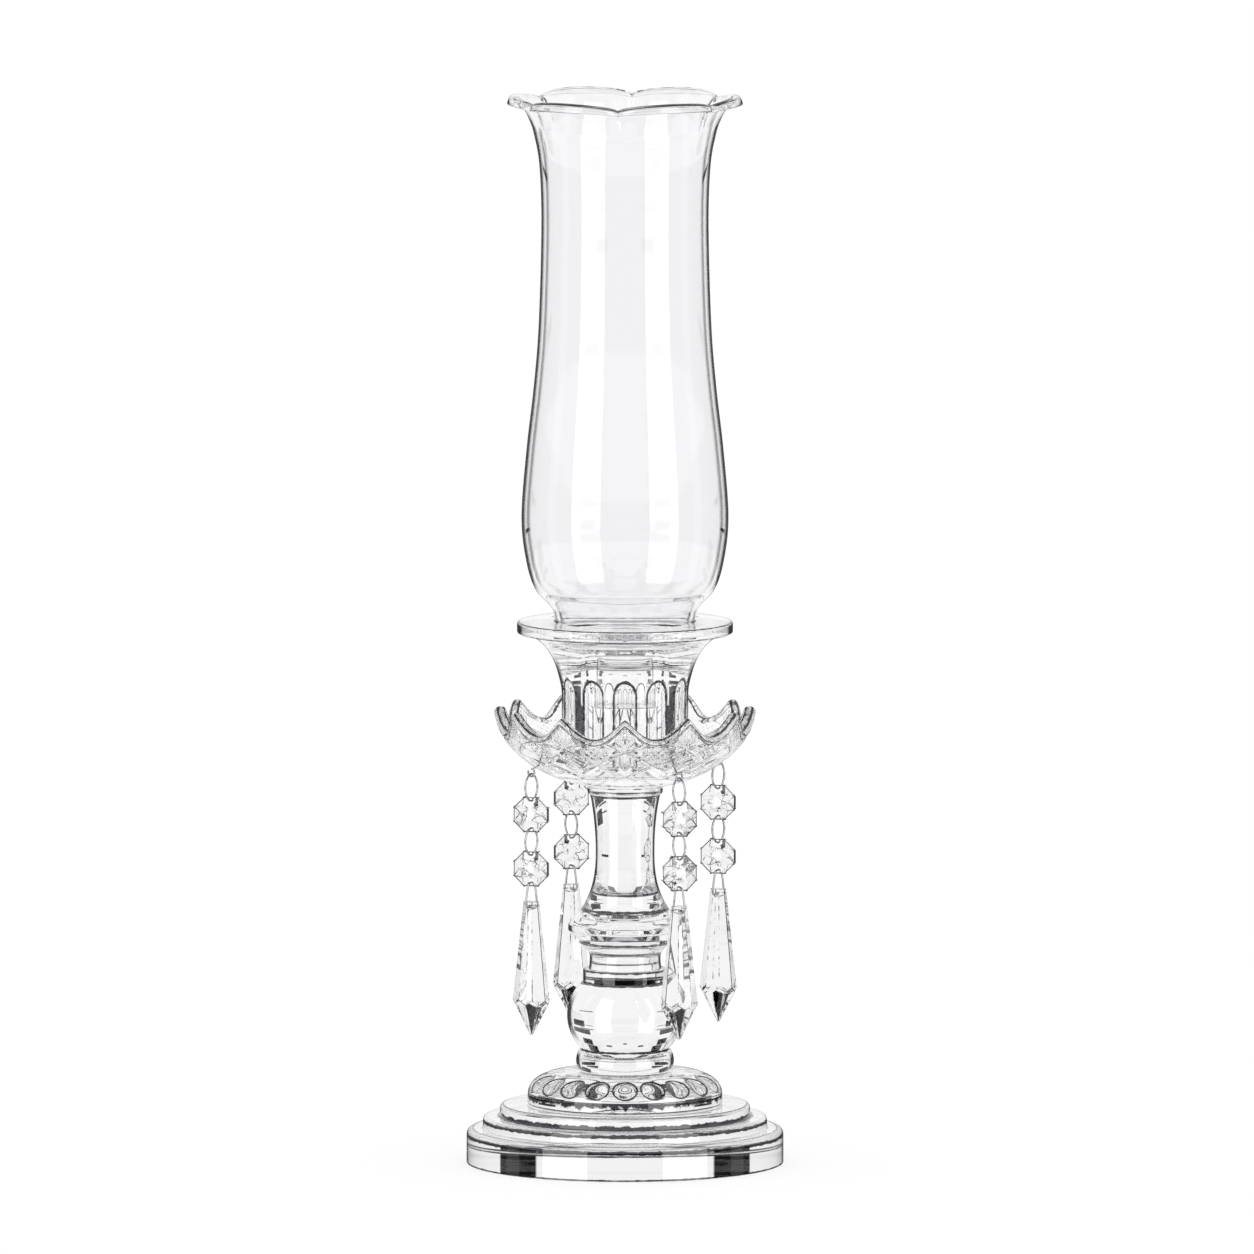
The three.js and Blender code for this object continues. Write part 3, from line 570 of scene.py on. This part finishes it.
def socketShape():
    # Cup: straight up, then a quarter oval out to the flange. Each flute is cut by depth (1 - rho^2)^bend,
    # where rho counts across it, and above the arch's start also up it.
    low, high = span("candle_socket")
    top = high[2]
    flangeZ, archZ = top - socket["flange"], low[2] + socket["archStart"]
    flareZ, archTop = flangeZ - socket["flare"], archZ + socket["archTall"]
    angles = np.linspace(0, tau, socket["flutes"] * socket["columns"], endpoint=False)
    z = np.concatenate([np.linspace(low[2] + bond, archZ, 16), np.linspace(archZ, archTop, 20)[1:],
                        flangeZ - (flangeZ - archTop) * np.linspace(1, 0, 26)[1:] ** 1.6])[:, None]
    share = np.clip((z - flareZ) / socket["flare"], 0, 1)
    flangeFoot = high[0] - socket["flangeIn"]
    r = socket["radius"] + (flangeFoot - socket["radius"]) * (1 - np.sqrt(1 - share ** 2))
    pitch = tau / socket["flutes"]
    across = (angles - pitch * np.round(angles / pitch)) * r / socket["fluteHalf"]
    up = np.clip(z - archZ, 0, None) / socket["archTall"]
    cut = socket["fluteDepth"] * np.clip(1 - across ** 2 - up ** 2, 0, 1) ** socket["fluteBend"]
    cup = onRings(angles, r - cut, z)
    # painted shade lines round each flute
    marks = (np.sqrt(across ** 2 + up ** 2) - 1) * socket["fluteHalf"] / socket["shadeLineSpread"]
    rise, polish = flangeZ + socket["flangeRise"], socket["wellPolish"]
    seatZ, wellZ = top - socket["seatDepth"], top - socket["wellDepth"]
    waxZ = seatZ - socket["waxDepth"]
    outline = rounded([
        (flangeFoot, flangeZ, 0),
        (high[0], rise, socket["under"]),
        (high[0], top, socket["polish"]),
        (socket["seatRadius"], top, 0.4),
        (socket["seatRadius"], seatZ, 0.3),
        (socket["waxRadius"], seatZ, 0.5),
        (socket["waxRadius"] - 1, waxZ, polish),
        (socket["wellRadius"], waxZ - socket["waxFall"], polish),
        (socket["wellRadius"], wellZ, polish),
        (2, wellZ, 0),
    ])[1:]
    # painted shade lines at the flange's edges and the seat's edge
    lines = [(high[0] - 0.3, rise, socket["line"]), (high[0] - 0.4, top, socket["line"]),
             (socket["seatRadius"], top, socket["line"])]
    marks = np.concatenate([marks, edgeShadeLines(outline, lines, len(angles))])
    return skin(np.concatenate([cup, turned(outline, len(angles))])), marks


shape, marks = socketShape()
piece("candle_socket_glass", "candle_socket", shape, pressed, 24, marks)

# Shade: a blown chimney whose lip is crimped into six lobes. Places are (radius, height). What lies between
# two places is given in shares of the way, (outwards, upwards).
shade = {"footRadius": 27.4, "footHeight": 7.4, "footTaper": 2, "shoulder": (36, 15), "belly": (41.4, 44),
         "waist": (33.4, 160), "throat": (36.4, 197.5), "lobe": (46.3, 211.4), "notch": (40.2, 208.8),
         "lowBelly": ((0.67, 0.4),), "side": ((0.25, 0.23), (0.6, 0.44), (0.86, 0.66)),
         "neck": ((0.25, 0.65),),
         "lobeRise": ((0.2, 0.42), (0.45, 0.76), (0.7, 0.97), (0.88, 1)),
         "notchRise": ((0.22, 0.42), (0.46, 0.76), (0.72, 0.95), (0.9, 1)),
         "droop": 2, "notchDroop": 0.9, "wall": 2, "lipWall": 0.9, "thinning": 0.8, "lobes": 6,
         "roundness": 0.55, "turn": -4, "rimShadeLine": 0.24, "rings": 110, "columns": 64}


def between(low, high, shares):
    # Spots at shares of the way from one place to the next
    return [(low[0] + out * (high[0] - low[0]), low[1] + up * (high[1] - low[1])) for out, up in shares]


def smoothLine(spots, count):
    # A Catmull-Rom curve through the spots, evenly spread over its stretches
    p = np.array(spots, float)
    p = np.vstack([2 * p[0] - p[1], p, 2 * p[-1] - p[-2]])
    at = np.linspace(0, len(spots) - 1 - 1e-9, count)
    i = at.astype(int)
    t = (at - i)[:, None]
    a, b, c, d = p[i], p[i + 1], p[i + 2], p[i + 3]
    curved = (2 * a - 5 * b + 4 * c - d) * t ** 2 + (3 * b - a - 3 * c + d) * t ** 3
    return 0.5 * (2 * b + (c - a) * t + curved)


def shadeShape():
    # The side is one line for every angle. The lip blends from a notch's line to a lobe's line by
    # |sin(3 a)|^roundness. The wall lies inside the line, square to it, and ends in half rounds.
    shoulder, belly, waist, throat = (shade[place] for place in ("shoulder", "belly", "waist", "throat"))
    side = [(shade["footRadius"], 0), (shade["footRadius"] + shade["footTaper"], shade["footHeight"]),
            shoulder, *between(shoulder, belly, shade["lowBelly"]),
            belly, *between(belly, waist, shade["side"]),
            waist, *between(waist, throat, shade["neck"]), throat]

    def upTo(kind, droop):
        end = shade[kind]
        lip = [*between(throat, end, shade[kind + "Rise"]), (end[0], end[1] - shade[droop])]
        return smoothLine(side + lip, shade["rings"])[:, None]

    overLobe, overNotch = upTo("lobe", "droop"), upTo("notch", "notchDroop")
    turn = math.radians(shade["turn"] - 90)
    angles = np.linspace(0, tau, shade["lobes"] * shade["columns"], endpoint=False) + turn
    blend = np.abs(np.sin(shade["lobes"] / 2 * (angles - turn))) ** shade["roundness"]
    line = overNotch + (overLobe - overNotch) * blend[:, None]
    way = np.gradient(line, axis=0)
    way /= np.linalg.norm(way, axis=-1, keepdims=True)
    inward = np.stack([-way[..., 1], way[..., 0]], axis=-1)
    half = shade["wall"] / 2
    thin = np.clip(np.linspace(0, 1, len(line)) - shade["thinning"], 0, 1) / (1 - shade["thinning"])
    wall = shade["wall"] + (shade["lipWall"] - shade["wall"]) * thin[:, None, None]
    t = np.linspace(0, math.pi, 9)[1:-1, None, None]
    lipHalf = shade["lipWall"] / 2
    rim = line[-1] + lipHalf * ((1 - np.cos(t)) * inward[-1] + 0.8 * np.sin(t) * way[-1])
    base = line[0] + half * ((1 + np.cos(t)) * inward[0] - 0.3 * np.sin(t) * way[0])
    whole = np.concatenate([line, rim, (line + wall * inward)[::-1], base])
    baseZ = span("hurricane_shade")[0][2] + 0.3 * half
    # a painted shade line along the rim
    marks = np.full(whole.shape[:2], farOff)
    marks[len(line):len(line) + len(t)] = shade["rimShadeLine"] + lipHalf * np.abs(t[..., 0] - math.pi / 2)
    return skin(onRings(angles, whole[..., 0], whole[..., 1] + baseZ), ended=False), marks


shape, marks = shadeShape()
piece("hurricane_shade_glass", "hurricane_shade", shape, shadeGlass, 50, marks)
print("socket and shade made")

# Chains: each has an angle round the dish, and 1 or -1 for the way its links are turned
chains = {"front_left": (-150, -1), "front_right": (-60, 1), "back_right": (30, -1), "back_left": (120, 1)}
chain = {"at": 43.2, "wire": 0.4, "beadTurn": 15, "ringTurn": 35, "prismTurn": 27,
         "ringHigh": 11.7, "ringWide": 9.2, "ringPinch": 0.12, "bailHigh": 10.6, "bailWide": 8.4,
         "bailTop": 5, "bailCorner": 1.2}


def wireSkin(path, way, side, closed, sides=12):
    # A round tube: at each point two directions square to the path carry radius (cos t, sin t)
    other = np.cross(way, side)
    t = np.linspace(0, tau, sides, endpoint=False)[:, None]
    rings = path[:, None] + chain["wire"] * (np.cos(t) * side[:, None] + np.sin(t) * other[:, None])
    return skin(rings, ended=not closed)


def asUnits(rows):
    # Each row's direction, with length 1
    return rows / np.linalg.norm(rows, axis=1, keepdims=True)


def loop(path):
    # A closed flat wire: one of its two directions lies in its plane
    way = asUnits(np.roll(path, -1, axis=0) - np.roll(path, 1, axis=0))
    flat = np.linalg.svd(path - path.mean(axis=0), full_matrices=False)[2][2]
    return wireSkin(path, way, asUnits(np.cross(way, flat)), True)


def ringPath():
    # An oval drawn in towards its ends: y = a cos t (1 - pinch sin^2 t), z = b sin t
    t = np.linspace(0, tau, 72, endpoint=False)
    a, b = chain["ringWide"] / 2 - chain["wire"], chain["ringHigh"] / 2 - chain["wire"]
    pinch = 1 - chain["ringPinch"] * np.sin(t) ** 2
    return np.stack([0 * t, a * np.cos(t) * pinch, b * np.sin(t)], axis=-1)


def bailPath():
    # Round at the top, straight through the drop at the bottom
    high, wide = chain["bailHigh"] / 2 - chain["wire"], chain["bailWide"] / 2 - chain["wire"]
    top, corner = chain["bailTop"] / 2, chain["bailCorner"]
    left = [(0.64 * top, high - 0.18 * top), (top, high - 0.72 * top), (wide, 1.6 * corner - high),
            (wide - 0.3 * corner, 0.3 * corner - high), (wide - corner, -high)]
    spots = [(0, high)] + [(-y, z) for y, z in left] + left[::-1] + [(0, high)]
    line = smoothLine(spots, 97)[:-1]
    return np.column_stack([0 * line[:, 0], line])


# Beads and drops: an octagon's corners, the middles of its sides, and how much nearer these are
cornerAt, flatAt = np.radians(22.5 + 45 * np.arange(8)), np.radians(45 * np.arange(8))
flatShare = math.cos(tau / 16)


def bored(name, shape, holes, radius, arris, fine, rim, bold, pale=0.91):
    # A faceted body with a narrow arris on each edge, and round holes along Y, cut by a boolean. Arrises
    # inside the rim have the share fine of the width. Returns the shape and how much painted shade each face
    # gets, standing in for the dark surroundings bent in at the edges: 1 for a bold arris, pale for another,
    # 0 for a facet.
    def solid(label, points, faces):
        mesh = bpy.data.meshes.new(label)
        mesh.from_pydata(points.tolist(), [], faces)
        made = bpy.data.objects.new(label, mesh)
        bpy.context.scene.collection.objects.link(made)
        return made

    body = solid(name, *shape)
    for _ in range(2):
        body.data.materials.append(None)
    narrow = body.modifiers.new("arris", "BEVEL")
    narrow.width, narrow.segments, narrow.material, narrow.limit_method = arris, 1, 1, "WEIGHT"
    ends = np.array([[shape[0][k] for k in edge.vertices] for edge in body.data.edges])
    weights = np.where((np.hypot(ends[..., 0], ends[..., 2]) > rim).all(axis=1), 1, fine)
    body.data.attributes.new("bevel_weight_edge", "FLOAT", "EDGE").data.foreach_set("value", weights)
    t = np.linspace(0, tau, 28, endpoint=False)
    drills = []
    for z in holes:
        ring = np.stack([radius * np.cos(t), 0 * t, z - radius * np.sin(t)], axis=-1)
        rings = np.stack([ring + (0, y, 0) for y in (-20, 20)])
        drills.append(solid(name + "_drill", *skin(rings)))
        cutter = body.modifiers.new("hole", "BOOLEAN")
        cutter.operation, cutter.object, cutter.solver = "DIFFERENCE", drills[-1], "EXACT"
    graph = bpy.context.evaluated_depsgraph_get()
    mesh = bpy.data.meshes.new_from_object(body.evaluated_get(graph))
    points = np.empty(len(mesh.vertices) * 3)
    mesh.vertices.foreach_get("co", points)
    faces = [list(face.vertices) for face in mesh.polygons]
    # painted shade on the arris faces
    shades = [face.material_index * (1 if bold(*face.center) else pale) for face in mesh.polygons]
    arrisShade = np.array(shades, float)
    print(name, len(faces), "faces,", int(arrisShade.sum()), "on arrises")
    for made in [body, *drills]:
        bpy.data.objects.remove(made)
    bpy.data.meshes.remove(mesh)
    return (points.reshape(-1, 3), faces), arrisShade


bead = {"size": 14, "thick": 5.6, "edge": 1.4, "table": 2.3, "star": 4.6, "hole": 1.4, "holeAt": 5.15,
        "arris": 0.4, "fine": 0.35}


def beadShape():
    # Each side has a flat table, 8 star facets, 8 kites whose star corner lies in the kite's plane,
    # and 8 rim facets; the kites run to the eight corners of the girdle
    reach = bead["size"] / 2 / flatShare
    slope = (bead["thick"] - bead["edge"]) / 2 / (reach - bead["table"])
    starHigh = bead["thick"] / 2 - slope * (bead["star"] * flatShare - bead["table"])

    def circle(angles, r, y):
        return np.stack([r * np.cos(angles), y + 0 * angles, r * np.sin(angles)], axis=-1)

    points, faces = [], []
    for side in (-1, 1):
        table = 8 * len(points)
        star, rim = table + 8, table + 16
        points += [circle(cornerAt, bead["table"], side * bead["thick"] / 2),
                   circle(flatAt, bead["star"], side * starHigh),
                   circle(cornerAt, reach, side * bead["edge"] / 2)]
        made = [[table + k for k in range(8)]]
        for k in range(8):
            on, before = (k + 1) % 8, (k - 1) % 8
            made += [[table + before, star + k, table + k], [table + k, star + k, rim + k, star + on],
                     [star + k, rim + before, rim + k]]
        faces += [face if side < 0 else face[::-1] for face in made]
    faces += [[16 + k, 40 + k, 40 + (k + 1) % 8, 16 + (k + 1) % 8][::-1] for k in range(8)]
    # the outer arrises get full painted shade
    return bored("bead", (np.concatenate(points), faces), (bead["holeAt"], -bead["holeAt"]), bead["hole"],
                 bead["arris"], bead["fine"], bead["size"] / 2,
                 lambda x, y, z: math.hypot(x, z) > bead["size"] / 2 - bead["arris"])


prism = {"long": 54.8, "topWide": 6.3, "topDeep": 4.2, "wide": 14.7, "deep": 10.4, "tip": 15.3,
         "hole": 1.1, "holeAt": 2.4, "arris": 0.2}


def prismShape():
    # Eight long facets widen downwards. Eight kites make the tip: each runs from the point to a body edge,
    # and their side corners lie in the planes of the body's facets, which makes a zigzag border.
    shoulder = prism["long"] - prism["tip"]
    thin = prism["topWide"] / prism["wide"]
    widen = (1 - thin) / shoulder
    squash = flatShare ** 2
    fall = (1 - squash) / (1 / prism["tip"] + squash * widen)
    unit = np.array([prism["wide"], prism["deep"]]) / 2 / flatShare

    def circle(angles, size, z, deepness=1):
        return np.stack([unit[0] * size * np.cos(angles), unit[1] * size * deepness * np.sin(angles),
                         z + 0 * angles], axis=-1)

    points = np.concatenate([circle(cornerAt, thin, 0, prism["topDeep"] / prism["deep"] / thin),
                             circle(cornerAt, 1, -shoulder),
                             circle(flatAt, flatShare * (1 + widen * fall), -shoulder - fall),
                             [[0, 0, -prism["long"]]]])
    faces = [list(range(8))]
    for k in range(8):
        before = (k - 1) % 8
        faces += [[before, 8 + before, 16 + k, 8 + k, k], [24, 16 + (k + 1) % 8, 8 + k, 16 + k]]
    # the side arrises get full painted shade
    return bored("drop", (points, faces), (-prism["holeAt"],), prism["hole"], prism["arris"], 1, 0,
                 lambda x, y, z: abs(x) > 2 * abs(y))


pin = {"holeAt": 40, "drop": 2.8, "eye": 1.5, "bow": 0.9, "wall": 5.7, "headRadius": 1.5, "headTall": 0.7,
       "out": 0.6, "headOff": 0.3}


def around(degrees):
    # A level direction at an angle round the axis
    return np.array([math.cos(math.radians(degrees)), math.sin(math.radians(degrees)), 0])


def pinPaths(at, lean):
    # The shank goes square through the dish's wall from its head, then bends into an open eye
    outward = around(at)
    across, facing = around(lean * chain["ringTurn"]), around(lean * chain["ringTurn"] - 90)
    tipZ = span("drip_dish")[1][2]
    holeZ = tipZ - dish["depth"] * math.sqrt(1 - (pin["holeAt"] / dish["radius"]) ** 2)
    slope = np.array([pin["holeAt"] / dish["radius"] ** 2, (holeZ - tipZ) / dish["depth"] ** 2])
    slope /= np.linalg.norm(slope)
    along = outward * slope[0] + (0, 0, slope[1])
    mouth = outward * pin["holeAt"] + (0, 0, holeZ)
    centre = outward * chain["at"] + (0, 0, holeZ - pin["drop"])
    back = facing * (-pin["bow"] if facing @ outward > 0 else pin["bow"])

    def eyeAt(degrees):
        angle = math.radians(degrees)
        return centre + pin["eye"] * (across * math.cos(angle) + (0, 0, math.sin(angle)))

    spots = [mouth - along * (pin["wall"] + pin["out"]), mouth - along * pin["wall"] / 2,
             mouth + along * pin["out"], eyeAt(90) + back]
    spots += [eyeAt(degrees) for degrees in (75, 45, 15, -15, -45, -75, -105, -135, -165, -195, -210)]
    head = rounded([(0.4, 0, 0), (pin["headRadius"], 0, 0.25), (pin["headRadius"], pin["headTall"], 0.3),
                    (0.4, pin["headTall"], 0)])
    radius, tall = head[:, 0][:, None, None], head[:, 1][:, None, None]
    side = np.cross(along, [0, 0, 1])
    side /= np.linalg.norm(side)
    other = np.cross(along, side)
    t = np.linspace(0, tau, 24, endpoint=False)[:, None]
    disc = mouth - along * (pin["wall"] + pin["headOff"] + tall)
    disc = disc + radius * (np.cos(t) * side - np.sin(t) * other)
    return smoothLine(spots, 110), disc


def joined(*shapes):
    # Several closed shapes in one mesh
    points, faces, count = [], [], 0
    for more, sides in shapes:
        points.append(more)
        faces += [[count + k for k in face] for face in sides]
        count += len(more)
    return np.concatenate(points), faces


def openWire(path):
    # A wire with two ends. Its first direction is carried along by taking out its part along the path.
    way = asUnits(np.gradient(path, axis=0))
    side, sides = np.cross(way[0], [0.3, 0.5, 0.8]), np.empty_like(path)
    for i, here in enumerate(way):
        side = side - here * (side @ here)
        side /= np.linalg.norm(side)
        sides[i] = side
    return wireSkin(path, way, sides, False)


def hang(kind, place, shape, turn, material, sharp, arrisShade=None):
    # A link is placed by its node's middle and a drop by its top, both turned about the chain's upright line
    at, lean = chains[place]
    node = f"{kind}_{place}"
    low, high = span(node)
    z = high[2] if kind == "prism" else (low[2] + high[2]) / 2
    points = turnedAndMoved(shape[0], lean * chain[turn], chain["at"] * around(at) + (0, 0, z))
    piece(node + "_fine", node, (points, shape[1]), material, sharp, arrisShade=arrisShade)


(beadBody, beadArrisShade), (prismBody, prismArrisShade) = beadShape(), prismShape()
ringBody, bailBody = loop(ringPath()), loop(bailPath())
for place, (at, lean) in chains.items():
    hang("upper_ring", place, ringBody, "ringTurn", wire, 60)
    hang("lower_ring", place, ringBody, "ringTurn", wire, 60)
    hang("upper_bead", place, beadBody, "beadTurn", crystal, 3, beadArrisShade)
    hang("lower_bead", place, beadBody, "beadTurn", crystal, 3, beadArrisShade)
    hang("bail", place, bailBody, "ringTurn", wire, 60)
    hang("prism", place, prismBody, "prismTurn", crystal, 3, prismArrisShade)
    shank, disc = pinPaths(at, lean)
    piece(f"pin_{place}_fine", f"pin_{place}", joined(openWire(shank), skin(disc)), wire, 50)
print("chains made")

# Stage: a white floor that keeps a faint shadow, and a white room with dark cards for the glass to bend.
# The floor lets rays from the glass and the metal through, so the room's lower half shows in them.
stage = {"floorSize": 60, "floorLevel": -0.0001, "floorColour": 0.35, "floorGlow": 0.74, "light": 0.8,
         "boxes": (28, 62), "boxLight": 3.2, "sides": (-6, 6), "sideLight": 0.5, "boxTall": (-35, 45),
         "darkBand": (-13, 1.5), "bright": 0.85, "room": 0.1, "spokeWide": 1.5, "spokeTall": (34, 60),
         "spokeGrowth": 0.2, "spokeFrom": 15, "ringCard": (50, 58), "topCard": (70, 100)}
# Dark cards, in degrees: (from, to, soft edge) sideways from straight in front or behind, where -100 starts
# at the middle, then (from, to, soft edge) upwards, and whether the same card is below the horizon too
cards = (
    ((26, 42, 1), (7.25, 7.9, 0.03), True),
    ((26, 42, 1), (4.13, 4.6, 0.03), False),
    ((-100, 37, 1), (6.985, 7.035, 0.008), False),
    ((26, 38, 1), (24, 31, 1), False),
    ((-100, 1.3, 0.3), (17.9, 19, 0.2), False),
    ((11, 15.5, 0.3), (20.8, 22.2, 0.2), False),
    ((30, 42, 1), (17.4, 23, 0.3), False),
    ((30, 56, 1), (8.4, 12.6, 0.3), False),
    ((36, 54, 1), (1, 6.2, 0.2), False),
)


def stageTools(calc, ramp):
    def inside(value, low, high, soft=1):
        # 1 between low and high, falling to 0 over the soft edges
        gap, half = calc("ABSOLUTE", calc("SUBTRACT", value, (low + high) / 2)), (high - low) / 2
        return ramp(gap, half, half + soft, 1, 0)

    def fromNearest(azimuth, step, start):
        # Degrees from the nearest of the places start, start + step, ...
        shifted = calc("MODULO", calc("ADD", azimuth, 720 + step / 2 - start), step)
        return calc("ABSOLUTE", calc("SUBTRACT", shifted, step / 2))

    def choose(switch, off, on):
        # off + switch (on - off)
        return calc("ADD", off, calc("MULTIPLY", switch, calc("SUBTRACT", on, off)))

    def degrees(value):
        return calc("MULTIPLY", value, 180 / math.pi)

    return inside, fromNearest, choose, degrees


def floorMaterial():
    # White paper that glows a little for the camera, and lets rays from glass and metal pass
    material = bpy.data.materials.new("white_floor")
    material.use_nodes = True
    add, calc, _, link = startNodes(material.node_tree)
    output = add("ShaderNodeOutputMaterial")
    paper = add("ShaderNodeBsdfDiffuse", {"Color": (stage["floorColour"],) * 3 + (1,)})
    glow = add("ShaderNodeEmission")
    path = add("ShaderNodeLightPath")
    link(calc("MULTIPLY", path.outputs["Is Camera Ray"], stage["floorGlow"]), glow.inputs["Strength"])
    white = add("ShaderNodeAddShader")
    link(paper.outputs[0], white.inputs[0])
    link(glow.outputs[0], white.inputs[1])
    clear = add("ShaderNodeBsdfTransparent")
    passing = calc("MAXIMUM", path.outputs["Is Glossy Ray"], path.outputs["Is Transmission Ray"])
    both = add("ShaderNodeMixShader")
    link(passing, both.inputs[0])
    link(white.outputs[0], both.inputs[1])
    link(clear.outputs[0], both.inputs[2])
    link(both.outputs[0], output.inputs["Surface"])
    return material


def whiteWorld():
    # Azimuth a = atan2(x, -y) and elevation e = asin(z), both in degrees
    world = bpy.data.worlds.new("white_studio")
    bpy.context.scene.world = world
    world.use_nodes = True
    add, calc, ramp, link = startNodes(world.node_tree)
    inside, fromNearest, choose, degrees = stageTools(calc, ramp)
    output = add("ShaderNodeOutputWorld")
    ground = add("ShaderNodeBackground", {"Color": (1, 1, 1, 1)})
    where = add("ShaderNodeTexCoord")
    split = add("ShaderNodeSeparateXYZ")
    link(where.outputs["Generated"], split.inputs[0])
    x, y, z = split.outputs
    azimuth = degrees(calc("ARCTAN2", x, calc("MULTIPLY", y, -1)))
    elevation = degrees(calc("ARCSINE", z))
    height = calc("ABSOLUTE", elevation)
    # what glass bends: white, with the dark cards, spokes that widen away from the horizon, and two rings
    sideways = fromNearest(azimuth, 180, 0)
    wider = calc("MULTIPLY", calc("SUBTRACT", height, stage["spokeFrom"]), stage["spokeGrowth"])
    spokes = inside(calc("SUBTRACT", fromNearest(azimuth, 45, 22.5), wider), -100, stage["spokeWide"])
    dark = calc("MULTIPLY", spokes, inside(height, *stage["spokeTall"]))
    for across, up, both in cards:
        card = calc("MULTIPLY", inside(sideways, *across), inside(height if both else elevation, *up))
        dark = calc("MAXIMUM", dark, card)
    dark = calc("MAXIMUM", dark, inside(height, *stage["ringCard"]))
    dark = calc("MAXIMUM", dark, inside(elevation, *stage["topCard"]))
    through = calc("SUBTRACT", 1, dark)
    # what glass and metal reflect: light boxes, and a bright room with a dark band at the horizon
    tall = inside(elevation, *stage["boxTall"], 2)
    boxes = calc("MULTIPLY", inside(calc("ABSOLUTE", azimuth), *stage["boxes"]), tall)
    sides = calc("MULTIPLY", inside(fromNearest(azimuth, 180, 90), *stage["sides"]), tall)
    bright = calc("SUBTRACT", 1, inside(elevation, *stage["darkBand"], 1.5))
    shine = calc("MULTIPLY", boxes, stage["boxLight"])
    shine = calc("ADD", shine, calc("MULTIPLY", sides, stage["sideLight"]))
    shine = calc("ADD", shine, calc("MULTIPLY", bright, stage["bright"]))
    shine = calc("ADD", shine, stage["room"])
    path = add("ShaderNodeLightPath")
    level = choose(path.outputs["Is Glossy Ray"], stage["light"], shine)
    level = choose(path.outputs["Is Transmission Ray"], level, through)
    level = choose(path.outputs["Is Camera Ray"], level, 1)
    link(level, ground.inputs["Strength"])
    link(ground.outputs[0], output.inputs["Surface"])
    world.cycles.sampling_method = "NONE"


def floor():
    size, level = stage["floorSize"], stage["floorLevel"]
    corners = [(-size, -size, level), (size, -size, level), (size, size, level), (-size, size, level)]
    mesh = bpy.data.meshes.new("floor")
    mesh.from_pydata(corners, [], [(0, 1, 2, 3)])
    mesh.materials.append(floorMaterial())
    made = bpy.data.objects.new("floor", mesh)
    bpy.context.scene.collection.objects.link(made)


floor()
whiteWorld()

# Camera: a long lens from a little above
view = {"distance": 10, "elevation": 6.2, "aim": (0.0008, 0, 0.2157), "lens": 717.7, "farEnd": 200}
tilt = math.radians(view["elevation"])
camera = bpy.data.objects.new("camera", bpy.data.cameras.new("camera"))
bpy.context.scene.collection.objects.link(camera)
camera.data.lens, camera.data.clip_end = view["lens"], view["farEnd"]
camera.location = (view["aim"][0], -view["distance"] * math.cos(tilt),
                   view["aim"][2] + view["distance"] * math.sin(tilt))
camera.rotation_euler = (tau / 4 - tilt, 0, 0)
bpy.context.scene.camera = camera
bpy.context.scene.view_settings.view_transform = "Standard"
cycles = bpy.context.scene.cycles
cycles.max_bounces = cycles.transmission_bounces = cycles.glossy_bounces = 48  # enough for stacked glass
print("stage and camera made")
